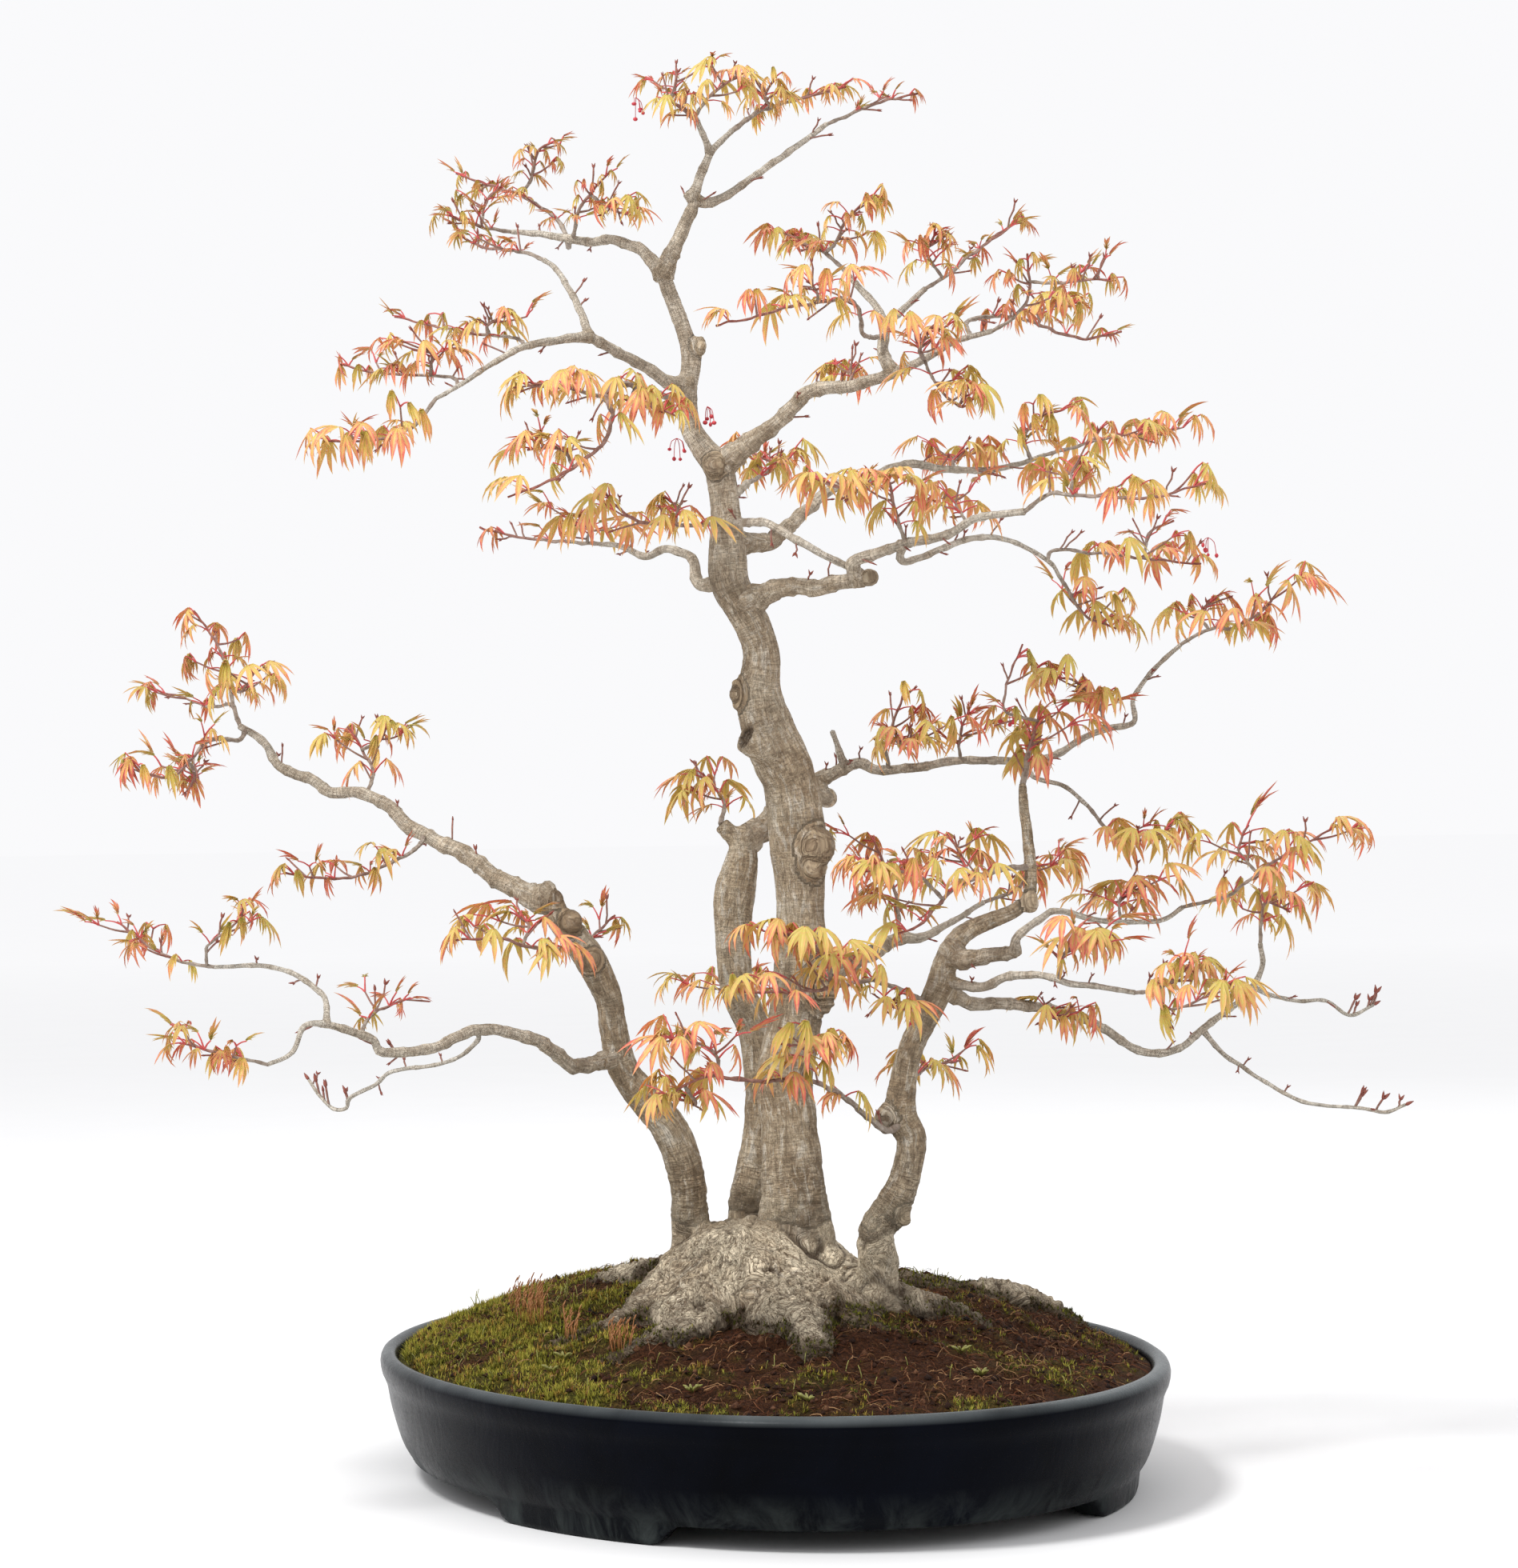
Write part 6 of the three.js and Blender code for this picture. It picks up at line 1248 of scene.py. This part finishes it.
def base_bark(corners, warp, height, clear):
    """Relief of the root base and painted shade in its hollows: rings round the trunks, fibres outward,
    creases and pits.
    """
    skirt = np.exp(-(np.clip(clear - 3, 0, None) / 13) ** 2) * np.clip((height - 92) / 18, 0, 1)
    across = np.stack([corners[:, 0] * 0.03, corners[:, 1] * 0.03, clear * 0.13 + height * 0.05], 1)
    rings = creases(across + warp * 0.4, 1, 6.6)
    polar = corners[:, :2] - BASE_MIDDLE
    out = np.linalg.norm(polar, axis=1)
    flow = pointing(np.arctan2(polar[:, 1], polar[:, 0])) * 6 + np.outer(out * 0.06 + height * 0.045, UP)
    fibres = creases(flow + warp * 0.9, 1.5)
    small = creases(corners + warp * 7, 0.21, 1.4)
    pits = np.clip(bumps(corners, 0.11, 3.7) - 0.36, 0, 1)
    relief = (2.6 * skirt * rings + (1 - 0.8 * skirt) * (1.2 * fibres + 1.4 * small)
              + 2.6 * bumps(corners, 0.045, 1.9) - 8 * pits)
    # Painted shade: darkest in the deepest creases and in the pits
    deep = np.minimum(small * (1 - skirt), np.minimum(rings * skirt * 1.5, fibres * (1 - skirt)))
    return relief, np.clip(-1.9 * deep - 0.3 + 3 * pits, 0, 0.85)


def build_trunks(bark):
    """Root base and trunks with their bark. Gives places low on the base, for moss."""
    corners, triangles, outward = skin_of(wood_core())
    trunk_rings, centres, radii, ahead, sides, others, along = wood_rings()
    owner, clear = nearest_rings(corners, centres, radii, trunk_rings)
    offset = corners - centres[owner]
    grain = np.stack([(offset * sides[owner]).sum(1), (offset * others[owner]).sum(1),
                      along[owner] + (offset * ahead[owner]).sum(1)], 1)
    height, warp = corners[:, 2], wander(corners, 0.06, (8.1, 2.9, 5.2))
    base = np.clip((BASE_TOP + 8 * warp[:, 0] - height) / 26, 0, 1) * np.clip((clear + 4) / 5, 0.4, 1)
    base = np.where(owner >= trunk_rings, 1, base)
    relief, hollow = ((1 - base) * on_trunk + base * on_base for on_trunk, on_base in zip(
        trunk_bark(grain, warp, height, radii[owner]), base_bark(corners, warp, height, clear)))
    rounds = corners * 0.45 + np.outer(np.clip(clear, -4, 60), UP)
    grain = np.where(base[:, None] > 0.5, rounds + warp * 5, grain)
    knot = np.zeros(len(corners))
    for centre, wide, high in knobs():
        span, strong = np.linalg.norm(corners - centre, axis=1), np.clip(wide / 7, 0, 1)
        reach = span / max(wide, high)
        close = reach < KNOT_REACH
        grain[close] = np.column_stack([(corners * 0.3 + warp * 2)[close, :2], 1.1 * span[close]])
        knot = np.maximum(knot, np.clip((KNOT_REACH - reach) * 3, 0, 1) * strong)
        around = np.clip(1.6 - reach, 0, 1) * strong
        rings = np.cos(2 * math.pi * span / KNOT_STEP + 2 * warp[:, 0])
        relief = relief + 0.6 * around * rings
        # Painted shade in the valleys between the growth rings
        hollow = np.maximum(hollow, np.clip(-rings - 0.3, 0, 1) * around * 0.9)
    depth, stain = 0.75 + bumps(corners, 0.5, 3.3), 0.75 + 0.4 * bumps(corners, 0.6, 1.1)
    for foot, tip, wide in stubs():
        facing = ((corners - tip) @ unit(tip - foot)) / wide
        reach = np.linalg.norm(corners - tip, axis=1) / wide
        face = np.clip((facing + 0.25) * 4, 0, 1) * np.clip((0.95 - reach) * 5, 0, 1)
        relief = relief - 2.2 * face * depth
        hollow = np.maximum(hollow, face * stain)
    lift = height - soil_height(corners[:, 0], corners[:, 1])
    creep = lift + 11 * bumps(corners, 0.035, 4.4) + 6 * bumps(corners, 0.11, 9.4)
    dirt = np.clip(1.25 - creep / DIRT_HEIGHT, 0, 0.85) * base
    thin = np.clip((height - PALE_HEIGHT) / 520, 0, 0.6) * (1 - knot) - knot
    # First mark: painted shade in creases, pits and rings, with dirt near the soil and stained stub faces
    marks = np.stack([np.clip(np.maximum(hollow, dirt), 0, 1), thin, base], 1)
    corners = corners + outward * relief[:, None]
    shape = Shape()
    shape.add(corners, triangles, grain=grain, mark=marks)
    shape.show("trunks", [bark], "bark", "tree")
    low = np.flatnonzero((creep < 0.6 * DIRT_HEIGHT) & (base > 0.9) & (outward[:, 2] > 0.1) & (lift > -2))
    return corners[np.random.default_rng(3).choice(low, min(BASE_TUFTS, len(low)), replace=False)]


def limb_bark(grain, reach):
    """Relief of a branch."""
    return reach * (0.13 * bumps(grain, 0.16) + 0.07 * bumps(grain, 0.5, 3))


def build_branches(bark):
    """Branches that flare where they leave, swell at their nodes and wander a little."""
    shape = Shape()
    for name, _, points in BRANCHES:
        if name in BUILT_AS_STUBS:
            continue
        line = curve(routes[name], BRANCH_STEP)
        out, radii = lengths_along(line[:, :3]), line[:, 3].copy()
        flare = 1 + 0.55 * np.exp(-np.maximum(out - radii[0], 0) / (1.6 * radii[0] + 1))
        spot = out / NODE_SPACING
        nodes = 1 + 0.16 * np.exp(-((spot - np.round(spot + 0.2 * np.sin(out / 31))) * 8) ** 2)
        line[:, 3] = radii * flare * nodes
        line[1:, :3] += (wander(line[:, :3], 0.09) * 0.28 * radii[:, None])[1:]
        thin = np.clip(1 - (line[:, 3] - 1.2) / 5, 0.25, 1)
        shape.tube(line, 12 if points[0][3] > 11 else 9, mark=np.outer(thin, [0, 1, 0]), relief=limb_bark)
    shape.show("branches", [bark], "bark", "tree")


def leaf_grid(count):
    """Lobe or notch number, station, side and layer of a leaf's corners, with the triangles."""
    corners, triangles = [], []

    def corner(*values):
        corners.append(values)
        return len(corners) - 1

    def add_faces(layer, *faces):
        triangles.extend(faces if layer == 1 else [(a, c, b) for a, b, c in faces])

    notches = [corner(lobe - 0.5, -1, 0, 0) for lobe in range(LOBE_COUNT + 1)]
    hubs = {layer: corner(LOBE_COUNT // 2, -2, 0, layer) for layer in (1, -1)}
    for lobe in range(LOBE_COUNT):
        tip = corner(lobe, count, 0, 0)
        right = [notches[lobe]] + [corner(lobe, j, -1, 0) for j in range(1, count)]
        left = [notches[lobe + 1]] + [corner(lobe, j, 1, 0) for j in range(1, count)]
        for layer, hub in hubs.items():
            rib = [corner(lobe, j, 0, layer) for j in range(count)]
            add_faces(layer, (hub, right[0], rib[0]), (hub, rib[0], left[0]))
            for j in range(count - 1):
                add_faces(layer, (rib[j], right[j], right[j + 1]), (rib[j], right[j + 1], rib[j + 1]),
                          (rib[j], rib[j + 1], left[j + 1]), (rib[j], left[j + 1], left[j]))
            add_faces(layer, (rib[-1], right[-1], tip), (rib[-1], tip, left[-1]))
    for layer, hub in hubs.items():
        add_faces(layer, (hub, notches[-1], notches[0]))
    return np.array(corners, float).T, np.array(triangles)


LEAF_GRIDS = [leaf_grid(len(stations)) for stations, _ in LOBES]


def turned(angle, first, second):
    """Vectors turned from one direction towards another."""
    return np.cos(angle)[:, None] * first + np.sin(angle)[:, None] * second


def add_leaf(shape, base, plan, form, kind):
    """Adds one stalk and its seven-lobed blade."""
    seed, heading, stalk, rise, size = plan
    small = int(size < SMALL_LEAF)
    (lobe, station, side, layer), triangles = LEAF_GRIDS[small]
    stations, halves = LOBES[small]
    number, tip, notch = station.astype(int), station == len(stations), station == -1
    stations = np.concatenate([stations, [1, 0, form["notch"]]])
    halves = np.concatenate([halves * form["width"], [0, 0, 0]])
    hub = base + stalk * pointing(heading, rise)
    ahead, flat_left = pointing(heading, vary(form["pitch"], seed, 5)), left_of(pointing(heading))
    roll = LEAF_ROLL * (draw(seed, 6) - 0.5)
    left = math.cos(roll) * flat_left + math.sin(roll) * np.cross(ahead, flat_left)
    normal = np.cross(ahead, left)
    lobes = range(LOBE_COUNT)
    spread = vary(form["spread"], seed, 11)
    whole = np.array([1 + 0.14 * (draw(seed, 20 + k) - 0.5) for k in lobes]) * form["lengths"] * size
    turns = spread * np.array([k - LOBE_COUNT // 2 + 0.5 * (draw(seed, 30 + k) - 0.5) for k in lobes])
    start, ends = vary(form["bend"][0], seed, 7), [vary(form["bend"][1], seed, 40 + k) for k in lobes]
    length = np.interp(lobe, lobes, whole)
    angle = np.interp(lobe, lobes, turns) + 0.5 * spread * (1.0 * (lobe > LOBE_COUNT - 1) - (lobe < 0))
    bend = (np.interp(lobe, lobes, ends) - start) / length
    along = stations[number] * length
    slope = start + bend * along
    reach = (np.sin(slope) - math.sin(start)) / bend
    drop = (math.cos(start) - np.cos(slope)) / bend
    width = side * halves[number] * length * (0.85 + 0.3 * draw(seed, 8))
    outward, across = turned(angle, ahead, left), turned(angle, left, -ahead)
    lift = np.where(notch, form["fold"] * 0.08 * size,
                    form["fold"] * np.abs(width) + layer * LEAF_THICKNESS / 2)
    corners = (hub + reach[:, None] * outward + width[:, None] * across - drop[:, None] * normal
               + lift[:, None] * turned(slope, normal, outward))
    marks = np.stack([along / size, np.maximum(np.abs(side), notch) * ~tip, 0 * along + draw(seed, 9)], 1)
    grain = np.stack([width, along, 0 * along + 50 * draw(seed, 10)], 1)
    shape.add(corners, triangles, kind, grain, marks)
    middle = (base + hub) / 2 + 0.07 * stalk * UP
    line = np.column_stack([[base, middle, hub + 0.3 * unit(hub - middle)], [0.62, 0.46, 0.42]])
    shape.tube(smooth(line, stalk / 3), 4, STALK)


def add_pair(shape, base, heading, opening, seed, form, size, kind):
    """Adds two opposite leaves."""
    for hand, own_seed in ((1, seed), (-1, seed + 10)):
        leaf_heading = heading + hand * (opening + ANGLE_RANGE * (draw(own_seed, 1) - 0.5))
        plan = (own_seed, leaf_heading, size * vary(form["stalk"], own_seed, 2),
                vary(form["rise"], own_seed, 3), LEAF_LENGTH * size * vary(form["size"], own_seed, 4))
        add_leaf(shape, base, plan, form, kind)


def add_bud(shape, base, ahead, size):
    """Adds a pointed bud."""
    line = base + np.outer(np.array([0, 0.25, 0.6, 0.85, 1]) * BUD_LENGTH * size, ahead)
    radii = size * np.array([0.35, 0.72, 0.6, 0.3, 0.08])
    shape.tube(np.column_stack([line, radii]), 4, TWIG, (1, 0, 0), tip=0.1)


def add_twiglet(shape, base, ahead, seed, length, width, bud=1.0):
    """Adds a short bare side twig that ends in a pair of buds."""
    side = unit(np.cross(ahead, [0.3, 0.2, 1]))
    wave = np.array([0, 0.12 * (draw(seed, 61) - 0.5), 0.16 * (draw(seed, 62) - 0.5), 0])
    shares = np.array([0, 0.35, 0.7, 1])
    line = base + np.outer(shares * length, ahead) + np.outer(wave * length, side)
    radii = width * np.array([1.1, 0.85, 0.95, 0.8])
    shape.tube(np.column_stack([line, radii]), 5, TWIG, np.outer(0.3 + 0.6 * shares, [1, 0, 0]))
    size = bud * (0.7 + 0.4 * draw(seed, 63))
    for turn in (-0.45, 0.45):
        add_bud(shape, line[-1] - 0.4 * ahead, unit(ahead + turn * side), size)


def add_side_twiglet(shape, line, here, seed, length, kind):
    """Adds a twiglet of a kind that leaves a line sideways at one of its rings."""
    axis_rise, onward, upward, width = kind
    step, turn = step_to(line, here), 2 * math.pi * draw(seed, 2)
    aside = unit(np.cross(step, [math.cos(turn), math.sin(turn), axis_rise]))
    add_twiglet(shape, line[here, :3], unit(step * onward + aside + UP * upward), seed, length, width)


def stem_rows(parent, points, width, stems):
    """Rows of a stem from where it leaves its limb or stem."""
    start = nearest(stems[parent] if isinstance(parent, int) else routes[parent], *points[0][:2])
    return [[*start[:3], width]] + [
        [x, y, start[2] + DEPTH_SPREAD * depth, width + (STEM_TIP_WIDTH - width) * (i + 1) / len(points)]
        for i, (x, y, depth) in enumerate(points)]


def add_stem(shape, rows):
    """Adds a stem that swells at its nodes and wanders a little. Gives its line and lengths along it."""
    line = curve(rows, STEM_STEP)
    along = lengths_along(line[:, :3])
    share = along / along[-1]
    line[:, 3] *= 1 + 0.28 * np.exp(-(((along / 9.5) % 1 - 0.5) * 6) ** 2)
    line[1:, :3] += wander(line[:, :3], 0.13)[1:] * 1.1 * np.minimum(1, share[1:, None] * 4)
    shape.tube(line, 6, TWIG, np.outer(np.clip(share * 1.5 - 0.45, 0, 1), [1, 0, 0]))
    return line, along


def add_shoot(shape, base, heading, seed, scale):
    """Adds a short shoot and gives its end."""
    end = base + pointing(heading, 0.1 + 0.5 * draw(seed, 73)) * scale * vary(SHOOT_LENGTHS, seed, 74)
    bow = (base + end) / 2 - 0.8 * UP
    line = smooth(np.column_stack([[base, bow, end], [0.75, 0.6, 0.5]]), 3)
    shape.tube(line, 5, TWIG, (0.45 + 0.4 * draw(seed, 75), 0, 0))
    return end


def add_leaves(shape, line, along, first_seed, count, young, scale):
    """Adds the leaf pairs along a stem, every second one on a shoot, and smaller pairs with some."""
    own, other, shares = (YOUNG_LEAF, OPEN_LEAF, YOUNG_SHARES) if young else (
        OPEN_LEAF, YOUNG_LEAF, OPEN_SHARES)
    pairs = math.ceil(count * PAIR_SHARE)
    for pair in range(pairs):
        seed, last = first_seed + 20 * pair, pair == pairs - 1
        at = (FIRST_PAIR + PAIR_STRETCH * (pair + 0.5) / pairs) * along[-1]
        base = np.array([np.interp(at, along, line[:, axis]) for axis in range(3)])
        step = step_to(line, ring_at(along, at))
        heading, opening = math.atan2(step[1], step[0]), TIP_ANGLE if last else PAIR_ANGLES[pair % 2]
        if pair % 2 == 1 and not last:
            heading += (1 - 2 * (pair // 2 % 2)) * (0.7 + 0.5 * draw(seed, 72))
            base, opening = add_shoot(shape, base, heading, seed, scale), TIP_ANGLE
        pick = draw(seed, 77)
        form = HANGING_LEAF if pick < shares[0] else other if pick < shares[1] else own
        kind = YOUNG if form is YOUNG_LEAF or (young and draw(seed, 78) < 0.7) else OPEN
        add_pair(shape, base, heading, opening, seed, form, scale * (YOUNG_SCALE if young else 1), kind)
        if draw(seed, 70) < FRESH_SHARE:
            form = (YOUNG_LEAF if draw(seed, 76) < 0.4 else HANGING_LEAF if draw(seed, 79) < 0.4
                    else OPEN_LEAF)
            add_pair(shape, base, heading + 2.4 * (draw(seed, 71) - 0.5), 0.6, seed + 5, form,
                     scale * FRESH_SIZE, YOUNG if young or form is YOUNG_LEAF else OPEN)


def build_sprays(materials):
    """Leafy twig systems: stems with leaves and bare twiglets."""
    for number, (name, parts) in enumerate(SPRAYS):
        shape, stems = Shape(), []
        for s, (parent, points, width, count, young) in enumerate(parts):
            first_seed = SPRAY_SEEDS * number + STEM_SEEDS * s
            stems.append(stem_rows(parent, points, width, stems))
            line, along = add_stem(shape, stems[-1])
            scale = np.interp(points[-1][1], LEAF_SIZE_HEIGHTS, LEAF_SIZE_SHARES)
            add_leaves(shape, line, along, first_seed, count, young, scale)
            for seed in range(first_seed + 120, first_seed + 120 + TWIGLETS):
                here = ring_at(along, (0.12 + 0.8 * draw(seed, 1)) * along[-1])
                add_side_twiglet(shape, line, here, seed, 6 + 11 * draw(seed, 3), STEM_TWIGLET)
        shape.show(f"leaves_{name}", materials, "leaf_young" if parts[0][4] else "leaf_open",
                   f"spray_{name}", sharp=LEAF_SHARP)


def build_bare_twigs(twig):
    """Buds along the bare limb ends, and stubby twigs on the thinner limbs."""
    shape = Shape()
    for number, name in enumerate(BARE_LIMBS):
        line = curve(routes[name], LIMB_STEP)
        along = lengths_along(line[:, :3])
        for k in range(BUDS_EACH):
            seed = BUD_SEEDS[0] + BUD_SEEDS[1] * number + k
            here = ring_at(along, along[-1] * (1 - 0.24 * draw(seed, 5)))
            tilt = [0.35 * (draw(seed, 1) - 0.5), 0.7 * (draw(seed, 2) - 0.5), 0.9 + 0.5 * draw(seed, 3)]
            ahead = unit(step_to(line, here) * 0.55 + tilt)
            add_twiglet(shape, line[here, :3], ahead, seed, 3 + 8 * draw(seed, 4), 0.75, 1.5)
        add_bud(shape, line[-1, :3], unit(line[-1, :3] - line[-3, :3]), 1.6)
    for number, (name, _, points) in enumerate(BRANCHES):
        if points[0][3] > TWIGGY_WIDTH:
            continue
        line = curve(routes[name], LIMB_STEP)
        for k in range(int(lengths_along(line[:, :3])[-1] / TWIGLET_SPACING)):
            seed = LIMB_SEEDS[0] + LIMB_SEEDS[1] * number + k
            here = int((0.15 + 0.83 * draw(seed, 1)) * (len(line) - 2)) + 1
            length = line[here, 3] + 3 + 9 * draw(seed, 3) ** 2
            add_side_twiglet(shape, line, here, seed, length, LIMB_TWIGLET)
    shape.show("bare_twigs", [twig], "bark")


def build_flowers():
    """Small crimson flowers that hang on thin stalks."""
    shape = Shape()
    chance = np.random.default_rng(5)
    for x, y, limb in FLOWERS:
        top = on_limb(limb, x, y)
        for _ in range(FLOWERS_EACH):
            out = np.array([chance.uniform(-6, 6), chance.uniform(-6, 6), -chance.uniform(4, 12)])
            line = np.column_stack([[top, top + out * [0.7, 0.7, 0.25], top + out], [0.25, 0.2, 0.18]])
            shape.tube(smooth(line, 2), 3)
            shape.ball(top + out, chance.uniform(0.9, 1.5, 3), 3, 6)
    shape.show("flowers", [stalk_material("flower", (0.4, 0.012, 0.03), (0.6, 0.05, 0.06))], "leaf_young")


def build_camera():
    """Looks along +Y at the drawing's distance, tilted and rolled as the drawing is."""
    eye = bpy.data.objects.new("camera", bpy.data.cameras.new("camera"))
    bpy.context.scene.collection.objects.link(eye)
    eye.data.sensor_width = 36
    eye.data.lens = eye.data.sensor_width * SQUARES_PER_RADIAN / DRAWING_HEIGHT
    eye.data.clip_start, eye.data.clip_end = 0.1, 200
    ahead = Vector((0, math.cos(DRAWING_TILT), -math.sin(DRAWING_TILT)))
    level_up = Vector((0, math.sin(DRAWING_TILT), math.cos(DRAWING_TILT)))
    level_right = Vector((1, 0, 0))
    right = math.cos(DRAWING_TURN) * level_right - math.sin(DRAWING_TURN) * level_up
    up = math.sin(DRAWING_TURN) * level_right + math.cos(DRAWING_TURN) * level_up
    eye.rotation_mode = "QUATERNION"
    eye.rotation_quaternion = Matrix((right, up, -ahead)).transposed().to_quaternion()
    eye.location = Vector(POT_MIDDLE) + Vector((0, -VIEW_DISTANCE, VIEW_HEIGHT)) * MM
    bpy.context.scene.camera = eye


def build_light():
    """Pale sky and three round lamps."""
    scene = bpy.context.scene
    scene.view_settings.view_transform = "Standard"
    scene.world = scene.world or bpy.data.worlds.new("world")
    scene.world.use_nodes = True
    sky = scene.world.node_tree.nodes["Background"]
    sky.inputs["Color"].default_value = SKY_COLOUR
    sky.inputs["Strength"].default_value = SKY_STRENGTH
    for name, at, size, power in LAMPS:
        lamp = bpy.data.objects.new(name, bpy.data.lights.new(name, "AREA"))
        lamp.data.shape, lamp.data.size, lamp.data.energy = "DISK", size, power
        lamp.location = at
        lamp.rotation_mode = "QUATERNION"
        lamp.rotation_quaternion = (Vector(at) - LAMP_AIM).to_track_quat("Z", "Y")
        scene.collection.objects.link(lamp)


def build_floor():
    """Round floor with painted shade: darker round the pot, paling with distance."""
    g = Graph("floor")
    at = g.place()
    far = g.node("ShaderNodeVectorMath", {0: at}, 1, operation="LENGTH") * (1 / FLOOR_FADE)
    tone = (at.cloud(0.01, 4, 0.5) - 0.5) * 0.02
    mesh = bpy.data.meshes.new("floor")
    corners = pointing(full_turn(FLOOR_SIDES)) * FLOOR_RADIUS
    mesh.from_pydata(corners.tolist(), [], [range(FLOOR_SIDES)])
    # Painted shade: darker near the pot, paling with distance towards the sky's tone
    mesh.materials.append(g.finish(base_color=far.ramp((0.1, 0.84), (1.0, 0.985)) + tone, roughness=0.9,
                                   specular_ior_level=0))
    floor = bpy.data.objects.new("floor", mesh)
    bpy.context.scene.collection.objects.link(floor)


bark, twig = bark_material(), twig_material()
build_camera()
build_light()
build_floor()
build_pot()
build_soil()
build_moss(build_trunks(bark))
build_litter()
build_branches(bark)
build_sprays([
    twig, stalk_material("petiole", (0.42, 0.03, 0.045), (0.64, 0.13, 0.1)),
    leaf_material("leaf_open", [
        (0.5, 0.41, 0.085), (0.65, 0.38, 0.12), (0.7, 0.23, 0.13), (0.58, 0.08, 0.08)], (0.64, 0.54, 0.18)),
    leaf_material("leaf_young", [
        (0.42, 0.36, 0.075), (0.54, 0.28, 0.09), (0.56, 0.13, 0.09), (0.4, 0.04, 0.05)], (0.52, 0.34, 0.1))])
build_bare_twigs(twig)
build_flowers()
